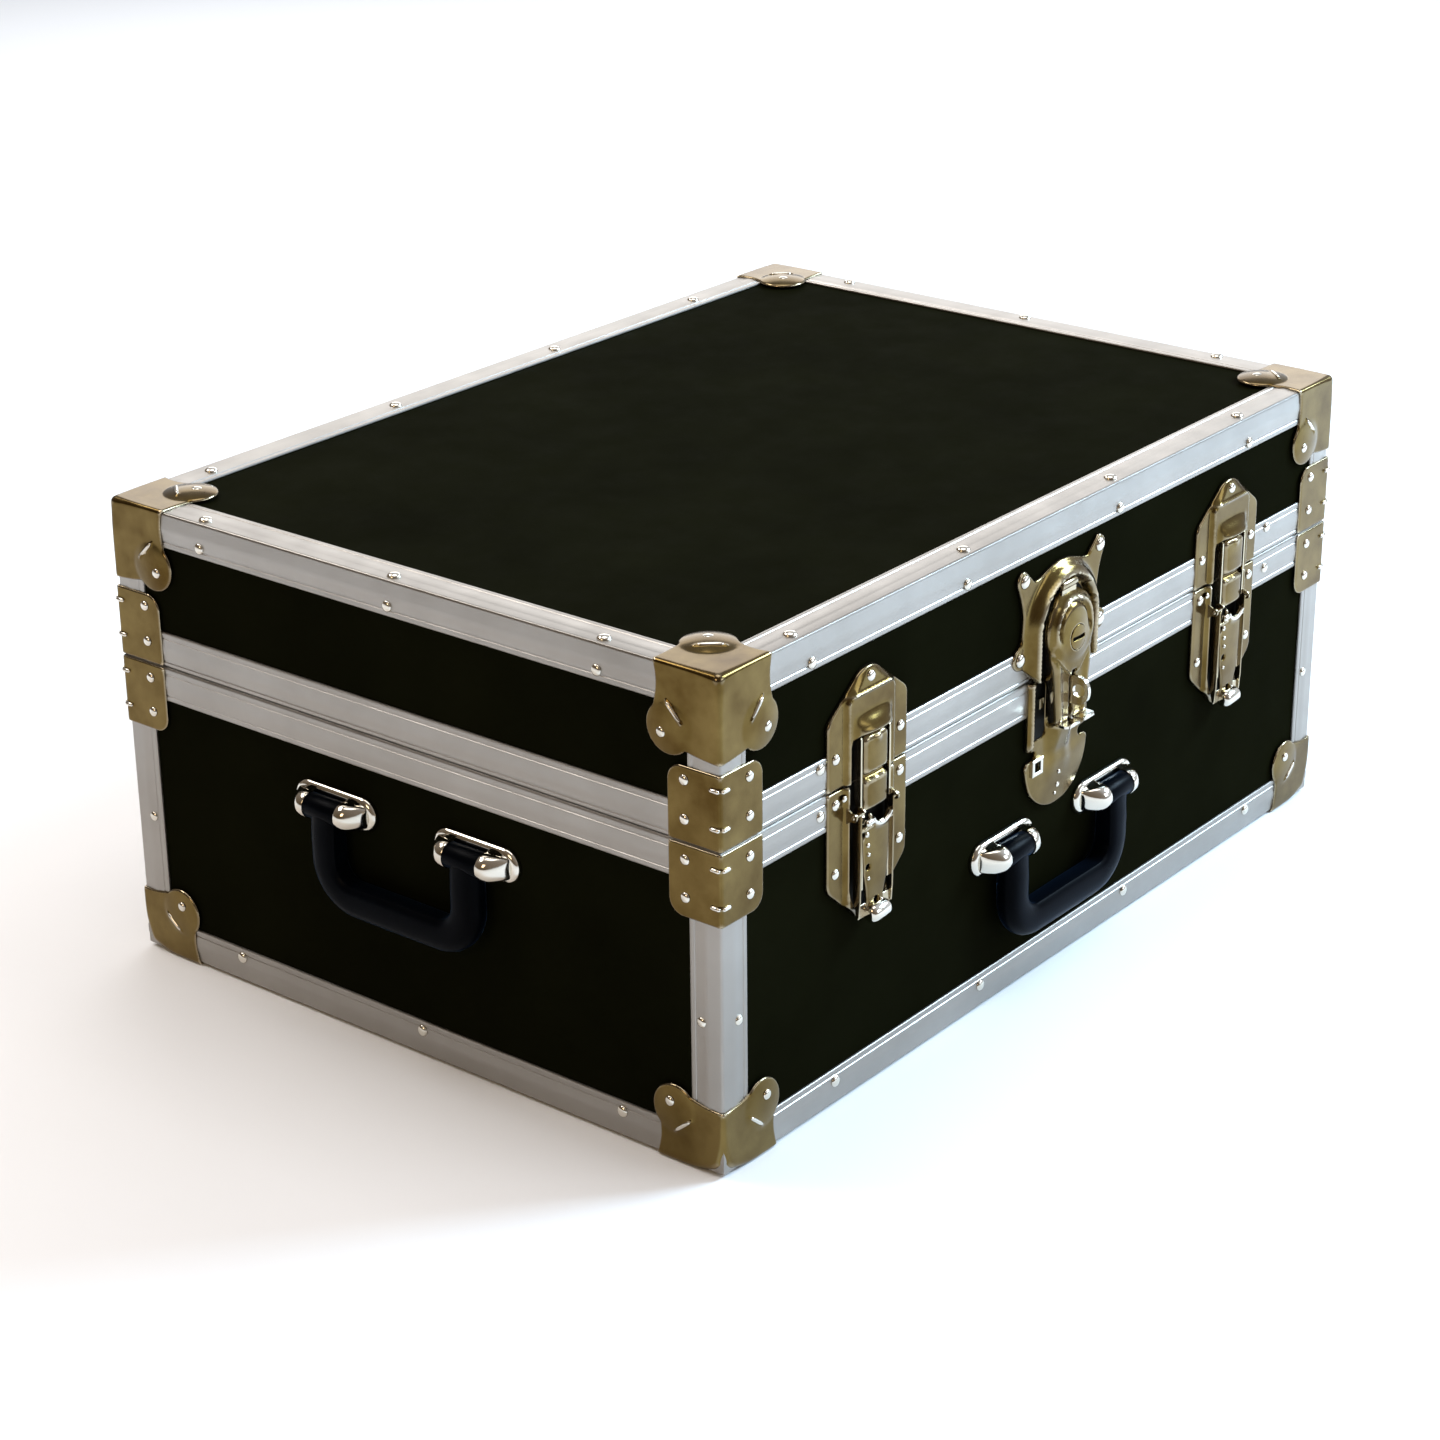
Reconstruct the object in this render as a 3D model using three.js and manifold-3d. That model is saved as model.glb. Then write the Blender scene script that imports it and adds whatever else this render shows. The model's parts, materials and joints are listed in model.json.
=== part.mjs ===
// A footlocker: a plywood box and lid with aluminium edge trims, plated corner caps,
// two draw-bolt latches, a hasp lock with a padlock staple, and three drop handles.
// Millimetres, +Z up, front towards -Y, origin under the middle of the part.
import * as THREE from 'three';
import { mergeVertices } from 'three/addons/utils/BufferGeometryUtils.js';
import Module from 'manifold-3d';

const wasm = await Module();
wasm.setup();

// ---- Driving dimensions ----
const WIDTH = 711;
const DEPTH = 509;
const HEIGHT = 328;
const SEAM = 217;
const SEAM_GAP = 0.4;
const FIT = 0.3;

const CAP_T = 1.2;
const TRIM_T = 1.5;
const TRIM_LEG = 24.5;
const PANEL_T = 6;
const RIM_LIP = 10;

const HX = WIDTH / 2;
const HY = DEPTH / 2;
const TRIM_IN = CAP_T + FIT;
const PANEL_IN = TRIM_IN + TRIM_T + FIT;

const HINGE_X = 190;
const HINGE_HALF = 30;
const HINGE_OUT = 4;
const LATCH_X = 212;
const HANDLE_HALF = 60.5;
const FRONT_HANDLE_Z = 110;
const SIDE_HANDLE_Z = 160;
const HANDLE_PIN_W = 10.5;
const LEVER_PIVOT = { v: -19, w: 7.5 };
const BOLT_PIVOT = { v: -31, w: 7.5 };
const HASP_PIVOT = { v: 60, w: 5 };
const STAPLE_OUT = 25;

// The front hardware stands further out than the hinges behind, so the whole part is
// moved back by half the difference, which centres its outer box on the origin.
const FRONT_REACH = HY - TRIM_IN + FIT + STAPLE_OUT;
const BACK_REACH = HY + HINGE_OUT * 2;
const SHIFT_Y = (FRONT_REACH - BACK_REACH) / 2;

// ---- Materials ----
function material(color, roughness, metalness) {
  return new THREE.MeshStandardMaterial({ color, roughness, metalness });
}
const panelBlack = () => material(0x14140c, 0.45, 0);
const aluminium = () => material(0xb9bcc2, 0.4, 0.9);
const platedSteel = () => material(0xa8986a, 0.22, 1);
const nickel = () => material(0xd8d5cc, 0.15, 1);
const gripBlack = () => material(0x0c0e14, 0.4, 0);
const darkSteel = () => material(0x4a4844, 0.35, 1);

// ---- Solid helpers ----
function positionsOnly(geometry) {
  const bare = geometry.clone();
  bare.deleteAttribute('normal');
  bare.deleteAttribute('uv');
  return mergeVertices(bare, 1e-5);
}

function toSolid(geometry) {
  const merged = positionsOnly(geometry);
  return new wasm.Manifold(
    new wasm.Mesh({
      numProp: 3,
      vertProperties: new Float32Array(merged.attributes.position.array),
      triVerts: new Uint32Array(merged.index.array),
    }),
  );
}

function fromSolid(solid) {
  const mesh = solid.getMesh();
  const geometry = new THREE.BufferGeometry();
  const positions = new Float32Array(mesh.vertProperties);
  geometry.setAttribute('position', new THREE.BufferAttribute(positions, 3));
  geometry.setIndex(new THREE.BufferAttribute(new Uint32Array(mesh.triVerts), 1));
  return geometry;
}

function join(...geometries) {
  return fromSolid(geometries.map(toSolid).reduce((a, b) => a.add(b)));
}

function cut(base, ...tools) {
  return fromSolid(tools.map(toSolid).reduce((a, b) => a.subtract(b), toSolid(base)));
}

// Moves a geometry by a matrix, and turns its faces round if the matrix mirrors it.
function moved(geometry, matrix) {
  const result = positionsOnly(geometry).applyMatrix4(matrix);
  if (matrix.determinant() < 0) {
    const index = result.index.array;
    for (let i = 0; i < index.length; i += 3) {
      [index[i], index[i + 1]] = [index[i + 1], index[i]];
    }
  }
  return result;
}

function box(x, y, z) {
  const geometry = new THREE.BoxGeometry(x[1] - x[0], y[1] - y[0], z[1] - z[0]);
  return geometry.translate((x[0] + x[1]) / 2, (y[0] + y[1]) / 2, (z[0] + z[1]) / 2);
}

function slab(shape, low, high, curveSegments = 4) {
  const options = { depth: high - low, bevelEnabled: false, curveSegments };
  return new THREE.ExtrudeGeometry(shape, options).translate(0, 0, low);
}

function outline(points) {
  return new THREE.Shape(points.map(([x, y]) => new THREE.Vector2(x, y)));
}

function disc(x, y, radius) {
  const shape = new THREE.Shape();
  shape.absarc(x, y, radius, 0, Math.PI * 2, false);
  return shape;
}

// A round bar along the local X axis, from one x to the other, about (v, w).
function rod(radius, from, to, v, w, sides = 16) {
  const geometry = new THREE.CylinderGeometry(radius, radius, to - from, sides);
  return geometry.rotateZ(Math.PI / 2).translate((from + to) / 2, v, w);
}

// A profile drawn in (v, w), as thick along the local X axis as the span says.
function cheek(profile, from, to) {
  const swap = new THREE.Matrix4().set(0, 0, 1, 0, 1, 0, 0, 0, 0, 1, 0, 0, 0, 0, 0, 1);
  return moved(slab(profile, from, to), swap);
}

// ---- Placement ----
const FACES = {
  front: { u: [1, 0, 0], w: [0, -1, 0] },
  back: { u: [-1, 0, 0], w: [0, 1, 0] },
  left: { u: [0, -1, 0], w: [-1, 0, 0] },
  right: { u: [0, 1, 0], w: [1, 0, 0] },
};

// Local x runs along the face, y runs up and z points out of it.
function onFace(mesh, face, u, z, out) {
  const along = new THREE.Vector3(...FACES[face].u);
  const normal = new THREE.Vector3(...FACES[face].w);
  const up = new THREE.Vector3(0, 0, 1);
  const frame = new THREE.Matrix4().makeBasis(along, up, normal);
  frame.setPosition(along.multiplyScalar(u).addScaledVector(normal, out).setZ(z));
  mesh.applyMatrix4(frame);
  return mesh;
}

function part(name, geometry, surface) {
  const mesh = new THREE.Mesh(positionsOnly(geometry), surface);
  mesh.name = name;
  return mesh;
}

// ---- Panels ----
function wallPanels(prefix, low, high) {
  const x = HX - PANEL_IN;
  const y = HY - PANEL_IN;
  const z = [low, high];
  const side = [-y + PANEL_T + FIT, y - PANEL_T - FIT];
  return [
    part(`${prefix}_front_panel`, box([-x, x], [-y, -y + PANEL_T], z), panelBlack()),
    part(`${prefix}_back_panel`, box([-x, x], [y - PANEL_T, y], z), panelBlack()),
    part(`${prefix}_left_panel`, box([-x, -x + PANEL_T], side, z), panelBlack()),
    part(`${prefix}_right_panel`, box([x - PANEL_T, x], side, z), panelBlack()),
  ];
}

function flatPanel(name, low) {
  const x = HX - PANEL_IN;
  const y = HY - PANEL_IN;
  return part(name, box([-x, x], [-y, y], [low, low + PANEL_T]), panelBlack());
}

// ---- Edge trims ----
function rectangle(x, y) {
  return outline([
    [-x, -y],
    [x, -y],
    [x, y],
    [-x, y],
  ]);
}

function ring(reach, low, high) {
  const x = HX - TRIM_IN;
  const y = HY - TRIM_IN;
  const shape = rectangle(x, y);
  shape.holes.push(rectangle(x - reach, y - reach));
  return slab(shape, low, high);
}

// A band round the box with a flange turned in at its top or its bottom.
function angleRing(low, high, flange, atTop) {
  const level = atTop ? [high - TRIM_T, high] : [low, low + TRIM_T];
  return join(ring(TRIM_T, low, high), ring(flange, ...level));
}

// An upright L section at the corner on the side given by two signs.
function cornerPost(signX, signY, low, high) {
  const leg = outline([
    [0, 0],
    [TRIM_LEG, 0],
    [TRIM_LEG, TRIM_T],
    [TRIM_T, TRIM_T],
    [TRIM_T, TRIM_LEG],
    [0, TRIM_LEG],
  ]);
  const place = new THREE.Matrix4().makeScale(-signX, -signY, 1);
  place.setPosition(signX * (HX - TRIM_IN), signY * (HY - TRIM_IN), 0);
  return moved(slab(leg, low, high), place);
}

const CORNERS = [
  { name: 'front_left', x: -1, y: -1 },
  { name: 'front_right', x: 1, y: -1 },
  { name: 'back_left', x: -1, y: 1 },
  { name: 'back_right', x: 1, y: 1 },
];

function lidTopTrim() {
  const low = SEAM + SEAM_GAP / 2 + TRIM_LEG + FIT;
  const top = HEIGHT - TRIM_IN;
  const band = angleRing(top - TRIM_LEG, top, TRIM_LEG, true);
  const posts = CORNERS.map((c) => cornerPost(c.x, c.y, low, top - TRIM_LEG + 1));
  return part('lid_top_trim', join(band, ...posts), aluminium());
}

function baseTrims() {
  const low = TRIM_IN;
  const seam = SEAM - SEAM_GAP / 2;
  const band = angleRing(low, low + TRIM_LEG, TRIM_LEG, false);
  const rim = angleRing(seam - TRIM_LEG, seam, RIM_LIP, true);
  const posts = CORNERS.map((c) => {
    const post = cornerPost(c.x, c.y, low + TRIM_LEG + FIT, seam - TRIM_LEG - FIT);
    return part(`base_corner_trim_${c.name}`, post, aluminium());
  });
  return [
    part('base_bottom_trim', band, aluminium()),
    part('base_rim', rim, aluminium()),
    ...posts,
  ];
}

function lidRim() {
  const seam = SEAM + SEAM_GAP / 2;
  const rim = angleRing(seam, seam + TRIM_LEG, RIM_LIP, false);
  return part('lid_rim', rim, aluminium());
}

// ---- Corner caps and edge clamps ----
// Outlines are drawn inward from the corner: along one edge, then along the other.
function lobedOutline(along, up, lobe) {
  const turn = Math.PI / 4;
  const reach = lobe.r * Math.SQRT1_2;
  const shape = new THREE.Shape();
  shape.moveTo(0, 0);
  shape.lineTo(along, 0);
  shape.quadraticCurveTo(along - 5, 14, lobe.x + reach, lobe.y - reach);
  shape.absarc(lobe.x, lobe.y, lobe.r, -turn, turn * 3, false);
  shape.quadraticCurveTo(14, up - 3, 0, up);
  return shape;
}

function clampOutline(leg, tall) {
  return outline([
    [0, 0],
    [leg, 0],
    [leg, tall - 10],
    [leg - 3, tall - 3],
    [leg - 10, tall],
    [0, tall],
  ]);
}

// Plates on the faces that meet at a corner, measured inward from it.
function cornerPlates(upright, flat) {
  const front = new THREE.Matrix4().set(1, 0, 0, 0, 0, 0, 1, 0, 0, 1, 0, 0, 0, 0, 0, 1);
  const side = new THREE.Matrix4().set(0, 0, 1, 0, 1, 0, 0, 0, 0, 1, 0, 0, 0, 0, 0, 1);
  const plates = [
    moved(slab(upright, 0, CAP_T), front),
    moved(slab(upright, 0, CAP_T), side),
  ];
  if (flat) plates.push(slab(flat, 0, CAP_T));
  return join(...plates);
}

function atCorner(geometry, corner, z, signZ) {
  const place = new THREE.Matrix4().makeScale(-corner.x, -corner.y, signZ);
  place.setPosition(corner.x * HX, corner.y * HY, z);
  return moved(geometry, place);
}

function cornerSet(name, geometry, z, signZ) {
  return CORNERS.map((c) =>
    part(`${name}_${c.name}`, atCorner(geometry, c, z, signZ), platedSteel()),
  );
}

function lidCorners() {
  const upright = lobedOutline(50, 61, { x: 37.5, y: 42, r: 17.5 });
  const flat = lobedOutline(50, 50, { x: 38, y: 38, r: 18 });
  const clamp = cornerPlates(clampOutline(40, 49), null);
  return [
    ...cornerSet('lid_corner_cap', cornerPlates(upright, flat), HEIGHT, -1),
    ...cornerSet('lid_edge_clamp', clamp, SEAM + SEAM_GAP / 2, 1),
  ];
}

function baseCorners() {
  const upright = lobedOutline(53, 45, { x: 38, y: 36, r: 17 });
  const flat = lobedOutline(53, 53, { x: 38, y: 38, r: 18 });
  const clamp = cornerPlates(clampOutline(40, 48), null);
  return [
    ...cornerSet('base_corner_cap', cornerPlates(upright, flat), 0, 1),
    ...cornerSet('base_edge_clamp', clamp, SEAM - SEAM_GAP / 2, -1),
  ];
}

// ---- Rear hinges ----
// The leaf's knuckles turn about the seam; local y is up and z is outward.
function hingeLeaf(knuckles, side) {
  const axis = { v: 0, w: HINGE_OUT + 1.2 };
  const leaf = [4.6, 22].map((y) => y * side).sort((a, b) => a - b);
  const web = [0, 5].map((y) => y * side).sort((a, b) => a - b);
  const pieces = [box([-HINGE_HALF, HINGE_HALF], leaf, [0, 2])];
  for (const span of knuckles) {
    pieces.push(box(span, web, [0, 2]));
    pieces.push(rod(HINGE_OUT, ...span, axis.v, axis.w));
  }
  return join(...pieces);
}

function hinge(name, x) {
  const axisOut = HINGE_OUT + 1.2;
  const outer = [
    [-HINGE_HALF, -10.3],
    [10.3, HINGE_HALF],
  ];
  const pin = rod(1.9, -HINGE_HALF + 1, HINGE_HALF - 1, 0, axisOut);
  const bore = rod(2.0, -11, 11, 0, axisOut);
  const base = join(hingeLeaf(outer, -1), pin);
  const lid = cut(hingeLeaf([[-10, 10]], 1), bore);
  const out = HY - TRIM_IN + FIT;
  return [
    onFace(part(`${name}_base_leaf`, base, platedSteel()), 'back', x, SEAM, out),
    onFace(part(`${name}_lid_leaf`, lid, platedSteel()), 'back', x, SEAM, out),
  ];
}

// ---- Draw-bolt latches ----
function catchPlate() {
  const plate = outline([
    [-40.5, 0.6],
    [40.5, 0.6],
    [40.5, 44],
    [10, 68],
    [5, 71.5],
    [-5, 71.5],
    [-10, 68],
    [-40.5, 44],
  ]);
  const arch = new THREE.Shape();
  arch.moveTo(18, 18);
  arch.lineTo(18, 26);
  arch.absarc(0, 22, 18, 0.2, Math.PI - 0.2, false);
  arch.lineTo(-18, 18);
  arch.lineTo(-14, 18);
  arch.absarc(0, 22, 14, Math.PI - 0.2, 0.2, true);
  arch.lineTo(14, 18);
  const pan = box([-24, 24], [0.6, 56], [0, 2.6]);
  return join(slab(plate, 0, CAP_T), pan, slab(arch, 2, 8));
}

function latchPlate() {
  const plate = outline([
    [-40.5, -0.6],
    [-40.5, -65],
    [-20, -84],
    [-6, -96],
    [6, -96],
    [20, -84],
    [40.5, -65],
    [40.5, -0.6],
  ]);
  const walls = [-1, 1].map((side) => {
    const x = [25 * side, 26.4 * side].sort((a, b) => a - b);
    return box(x, [-74, -9], [0, 12]);
  });
  const { v, w } = LEVER_PIVOT;
  return cut(join(slab(plate, 0, CAP_T), ...walls), rod(2.1, -30, 30, v, w));
}

function latchLever() {
  const { v, w } = LEVER_PIVOT;
  const blade = outline([
    [-18, -40],
    [-12, -80],
    [12, -80],
    [18, -40],
  ]);
  const side = new THREE.Shape();
  side.moveTo(v, w - 4.4);
  side.absarc(v, w, 4.4, -Math.PI / 2, Math.PI / 2, false);
  side.lineTo(-52, 9.5);
  side.lineTo(-52, 3.4);
  const knob = rod(4.6, -12, 12, -88, 9.4);
  return join(
    slab(blade, 7.5, 9.5),
    cheek(side, -18, -16.4),
    cheek(side, 16.4, 18),
    rod(2, -26.8, -17, v, w),
    rod(2, 17, 26.8, v, w),
    rod(1.5, -17, 17, BOLT_PIVOT.v, BOLT_PIVOT.w),
    box([-12, 12], [-90, -78], [7.2, 10.2]),
    knob,
  );
}

function latchBolt() {
  const { v, w } = BOLT_PIVOT;
  const barrel = new THREE.Shape();
  barrel.moveTo(-12.5, -18);
  barrel.lineTo(12.5, -18);
  barrel.lineTo(12.5, 22);
  barrel.absarc(0, 22, 12.5, 0, Math.PI, false);
  const ridge = outline([
    [-6, -16],
    [6, -16],
    [6, 28],
    [-6, 28],
  ]);
  const eye = join(box([-8, 8], [v - 5, -17], [w - 3, w + 3]), rod(5, -8, 8, v, w));
  const body = join(slab(barrel, 4.2, 10.5, 8), slab(ridge, 10, 12.6), eye);
  return cut(body, rod(1.6, -9, 9, v, w));
}

function latch(name, x) {
  const out = HY - TRIM_IN + FIT;
  const pieces = {
    catch: part(`${name}_catch`, catchPlate(), platedSteel()),
    plate: part(`${name}_plate`, latchPlate(), platedSteel()),
    lever: part(`${name}_lever`, latchLever(), nickel()),
    bolt: part(`${name}_bolt`, latchBolt(), nickel()),
  };
  return Object.values(pieces).map((mesh) => onFace(mesh, 'front', x, SEAM, out));
}

// ---- Centre hasp lock ----
function lockLidPlate() {
  const { v, w } = HASP_PIVOT;
  const ears = [
    [-44, 73],
    [44, 73],
    [-47, 20],
    [47, 20],
  ].map(([x, y]) => slab(disc(x, y, 8.5), 0, CAP_T));
  const body = new THREE.Shape();
  body.moveTo(-30, 0.6);
  body.lineTo(30, 0.6);
  body.quadraticCurveTo(40, 8, 48, 16);
  body.quadraticCurveTo(38, 40, 46, 68);
  body.quadraticCurveTo(36, 72, 22, 73);
  body.absarc(0, 40, 40, 0.95, Math.PI - 0.95, false);
  body.quadraticCurveTo(-36, 72, -46, 68);
  body.quadraticCurveTo(-38, 40, -48, 16);
  body.quadraticCurveTo(-40, 8, -30, 0.6);
  const arch = new THREE.Shape();
  arch.absarc(0, 33, 38, -0.35, Math.PI + 0.35, false);
  arch.absarc(0, 33, 31.5, Math.PI + 0.35, -0.35, true);
  const lugs = [-1, 1].map((side) => {
    const x = [8.8 * side, 12 * side].sort((a, b) => a - b);
    return box(x, [v - 2.6, v + 2.6], [0, w + 2.6]);
  });
  const pin = rod(1.5, -11, 11, v, w);
  return join(slab(body, 0, CAP_T), ...ears, slab(arch, 0.6, 4.2, 8), ...lugs, pin);
}

function lockHasp() {
  const { v, w } = HASP_PIVOT;
  const arm = outline([
    [-22, 26],
    [-22, 8],
    [-15, -46],
    [-3.6, -46],
    [-3.6, 1.5],
    [3.6, 1.5],
    [3.6, -46],
    [15, -46],
    [22, 8],
    [22, 26],
  ]);
  const flank = outline([
    [26, 4.5],
    [26, 12],
    [-44, 12],
    [-44, 4.5],
  ]);
  const head = join(slab(disc(0, 31, 26), 4.5, 11, 8), slab(disc(0, 31, 22), 10, 13.5, 8));
  const flanks = [cheek(flank, -16.4, -14.6), cheek(flank, 14.6, 16.4)];
  const neck = box([-8.4, 8.4], [50, v], [4.5, 8]);
  const knuckle = rod(3.2, -8.4, 8.4, v, w);
  const body = join(head, slab(arm, 11, 13.5), ...flanks, neck, knuckle);
  return cut(body, rod(1.6, -9, 9, v, w), slab(disc(0, 25, 9.8), 0, 20, 8));
}

function lockCylinder() {
  const barrel = slab(disc(0, 25, 9.5), 5, 14.5, 8);
  return cut(barrel, box([-7.5, 7.5], [23.8, 26.2], [11.5, 16]));
}

function lockBasePlate() {
  const shield = new THREE.Shape();
  shield.moveTo(-38, -0.6);
  shield.lineTo(-38, -28);
  shield.quadraticCurveTo(-32, -40, -38, -54);
  shield.quadraticCurveTo(-38, -84, -12, -95);
  shield.quadraticCurveTo(0, -99.5, 12, -95);
  shield.quadraticCurveTo(38, -84, 38, -54);
  shield.quadraticCurveTo(32, -40, 38, -28);
  shield.lineTo(38, -0.6);
  return slab(shield, 0, CAP_T);
}

function lockStaple() {
  const fin = new THREE.Shape();
  fin.moveTo(-22, 1.5);
  fin.lineTo(-2, 1.5);
  fin.lineTo(-2, STAPLE_OUT - 8);
  fin.quadraticCurveTo(-2, STAPLE_OUT, -12, STAPLE_OUT);
  fin.quadraticCurveTo(-22, STAPLE_OUT, -22, STAPLE_OUT - 8);
  const eye = new THREE.Path();
  eye.absarc(-12, STAPLE_OUT - 7.5, 4.6, 0, Math.PI * 2, true);
  fin.holes.push(eye);
  const foot = box([-7, 7], [-25, -1], [1.5, 3]);
  return join(cheek(fin, -1.5, 1.5), foot);
}

function lock() {
  const out = HY - TRIM_IN + FIT;
  const pieces = [
    part('lock_lid_plate', lockLidPlate(), platedSteel()),
    part('lock_hasp', lockHasp(), nickel()),
    part('lock_cylinder', lockCylinder(), darkSteel()),
    part('lock_base_plate', lockBasePlate(), platedSteel()),
    part('lock_staple', lockStaple(), nickel()),
  ];
  return pieces.map((mesh) => onFace(mesh, 'front', 0, SEAM, out));
}

// ---- Drop handles ----
function handleBracket() {
  const plate = new THREE.Shape();
  plate.moveTo(-23.5, -12);
  plate.lineTo(23.5, -12);
  plate.absarc(23.5, 0, 12, -Math.PI / 2, Math.PI / 2, false);
  plate.lineTo(-23.5, 12);
  plate.absarc(-23.5, 0, 12, Math.PI / 2, Math.PI * 1.5, false);
  const ear = new THREE.Shape();
  ear.moveTo(-11, 0.6);
  ear.lineTo(11, 0.6);
  ear.absarc(0, HANDLE_PIN_W, 9, 0.1, Math.PI - 0.1, false);
  const ears = [cheek(ear, -18.6, -17), cheek(ear, 17, 18.6)];
  return cut(join(slab(plate, 0, CAP_T), ...ears), rod(2.6, -20, 20, 0, HANDLE_PIN_W, 12));
}

// A rounded U bar hanging from two cross barrels, each on its own stub pins.
function handleGrip() {
  const bend = 24;
  const bottom = -54;
  const w = HANDLE_PIN_W;
  const path = new THREE.CurvePath();
  const at = (x, y) => new THREE.Vector3(x, y, w);
  const corner = (x0, y0, x1, y1, x2, y2) =>
    new THREE.QuadraticBezierCurve3(at(x0, y0), at(x1, y1), at(x2, y2));
  const x = HANDLE_HALF;
  path.add(new THREE.LineCurve3(at(-x, 0), at(-x, bottom + bend)));
  path.add(corner(-x, bottom + bend, -x, bottom, -x + bend, bottom));
  path.add(new THREE.LineCurve3(at(-x + bend, bottom), at(x - bend, bottom)));
  path.add(corner(x - bend, bottom, x, bottom, x, bottom + bend));
  path.add(new THREE.LineCurve3(at(x, bottom + bend), at(x, 0)));
  const section = new THREE.Shape();
  section.absellipse(0, 0, 8, 10.5, 0, Math.PI * 2, false, 0);
  const options = { steps: 22, curveSegments: 5, extrudePath: path };
  const bar = new THREE.ExtrudeGeometry(section, options);
  const barrels = [-x, x].flatMap((centre) => [
    rod(8.2, centre - 16.6, centre + 16.6, 0, w),
    rod(2.5, centre - 18.4, centre + 18.4, 0, w, 12),
  ]);
  return join(bar, ...barrels);
}

function handle(name, face, z) {
  const out = (face === 'front' ? HY : HX) - PANEL_IN + FIT;
  const grip = part(`${name}_grip`, handleGrip(), gripBlack());
  const left = part(`${name}_bracket_a`, handleBracket(), nickel());
  const right = part(`${name}_bracket_b`, handleBracket(), nickel());
  return [
    onFace(grip, face, 0, z, out),
    onFace(left, face, -HANDLE_HALF, z, out),
    onFace(right, face, HANDLE_HALF, z, out),
  ];
}

// ---- Assembly ----
function base() {
  const floor = PANEL_IN;
  const top = SEAM - SEAM_GAP / 2 - TRIM_T - FIT;
  return [
    flatPanel('base_bottom_panel', floor),
    ...wallPanels('base', floor + PANEL_T + FIT, top),
    ...baseTrims(),
    ...baseCorners(),
  ];
}

function lid() {
  const ceiling = HEIGHT - PANEL_IN - PANEL_T;
  const bottom = SEAM + SEAM_GAP / 2 + TRIM_T + FIT;
  return [
    flatPanel('lid_top_panel', ceiling),
    ...wallPanels('lid', bottom, ceiling - FIT),
    lidRim(),
    lidTopTrim(),
    ...lidCorners(),
  ];
}

const footlocker = new THREE.Group();
footlocker.name = 'footlocker';
footlocker.add(
  ...base(),
  ...lid(),
  ...hinge('hinge_left', HINGE_X),
  ...hinge('hinge_right', -HINGE_X),
  ...latch('latch_left', -LATCH_X),
  ...latch('latch_right', LATCH_X),
  ...lock(),
  ...handle('handle_front', 'front', FRONT_HANDLE_Z),
  ...handle('handle_left', 'left', SIDE_HANDLE_Z),
  ...handle('handle_right', 'right', SIDE_HANDLE_Z),
);
footlocker.position.y = SHIFT_Y;

export default footlocker;
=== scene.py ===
"""Footlocker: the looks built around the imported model. Local work is in millimetres."""

import math

import bmesh
import bpy
import numpy as np
from mathutils import Matrix, Vector
from mathutils.geometry import delaunay_2d_cdt
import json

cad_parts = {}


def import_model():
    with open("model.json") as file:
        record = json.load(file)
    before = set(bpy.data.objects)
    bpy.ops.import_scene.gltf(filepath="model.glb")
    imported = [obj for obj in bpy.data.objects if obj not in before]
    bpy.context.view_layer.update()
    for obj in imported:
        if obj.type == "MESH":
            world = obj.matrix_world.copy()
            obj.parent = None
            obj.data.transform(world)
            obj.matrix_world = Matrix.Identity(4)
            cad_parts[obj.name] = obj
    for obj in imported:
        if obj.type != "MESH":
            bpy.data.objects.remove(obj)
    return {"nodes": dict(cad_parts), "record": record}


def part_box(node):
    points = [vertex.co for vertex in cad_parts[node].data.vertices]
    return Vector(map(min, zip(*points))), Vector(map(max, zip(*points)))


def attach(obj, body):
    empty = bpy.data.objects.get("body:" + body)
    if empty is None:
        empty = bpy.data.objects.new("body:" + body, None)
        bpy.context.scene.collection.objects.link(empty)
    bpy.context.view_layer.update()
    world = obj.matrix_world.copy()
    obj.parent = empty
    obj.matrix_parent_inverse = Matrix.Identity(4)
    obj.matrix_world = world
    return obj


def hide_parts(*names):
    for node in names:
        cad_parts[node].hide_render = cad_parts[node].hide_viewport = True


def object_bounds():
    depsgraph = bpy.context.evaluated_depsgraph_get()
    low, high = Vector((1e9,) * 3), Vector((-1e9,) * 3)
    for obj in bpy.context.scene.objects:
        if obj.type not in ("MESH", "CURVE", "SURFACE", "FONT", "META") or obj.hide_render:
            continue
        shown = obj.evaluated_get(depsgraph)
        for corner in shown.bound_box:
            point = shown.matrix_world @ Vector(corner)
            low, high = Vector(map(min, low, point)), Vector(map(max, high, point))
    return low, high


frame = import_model()
cad_low, cad_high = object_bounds()

MM = 0.001
CAP = 1.2  # sheet of the caps, clamps and plates
FIT = 0.3  # play between one layer and the next
LEG = 24.5  # leg of the edge angles
HALF_GAP = 0.2  # half the gap between base and lid
TRIM_FACE = 1.4  # how far the face of a trim lies below the caps
TRIM_IN = CAP + FIT
rim_low, rim_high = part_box("lid_rim")
SHIFT = (rim_low.y + rim_high.y) / 2 / MM
HX = (rim_high.x - rim_low.x) / 2 / MM + TRIM_IN
HY = (rim_high.y - rim_low.y) / 2 / MM + TRIM_IN
HEIGHT = cad_high.z / MM
SEAM = rim_low.z / MM - HALF_GAP
PLATE_OUT = HY - TRIM_IN + FIT
LATCH_X = 212.0
HINGE_X = 190.0
HANDLE_X = 60.5
HANDLE_PIN = 10.5
CORNERS = {
    (-1, -1): "front_left",
    (1, -1): "front_right",
    (-1, 1): "back_left",
    (1, 1): "back_right",
}


# ---- Materials ----
def new_material(name):
    mat = bpy.data.materials.new(name)
    mat.use_nodes = True
    return mat, mat.node_tree, mat.node_tree.nodes["Principled BSDF"]


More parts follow.
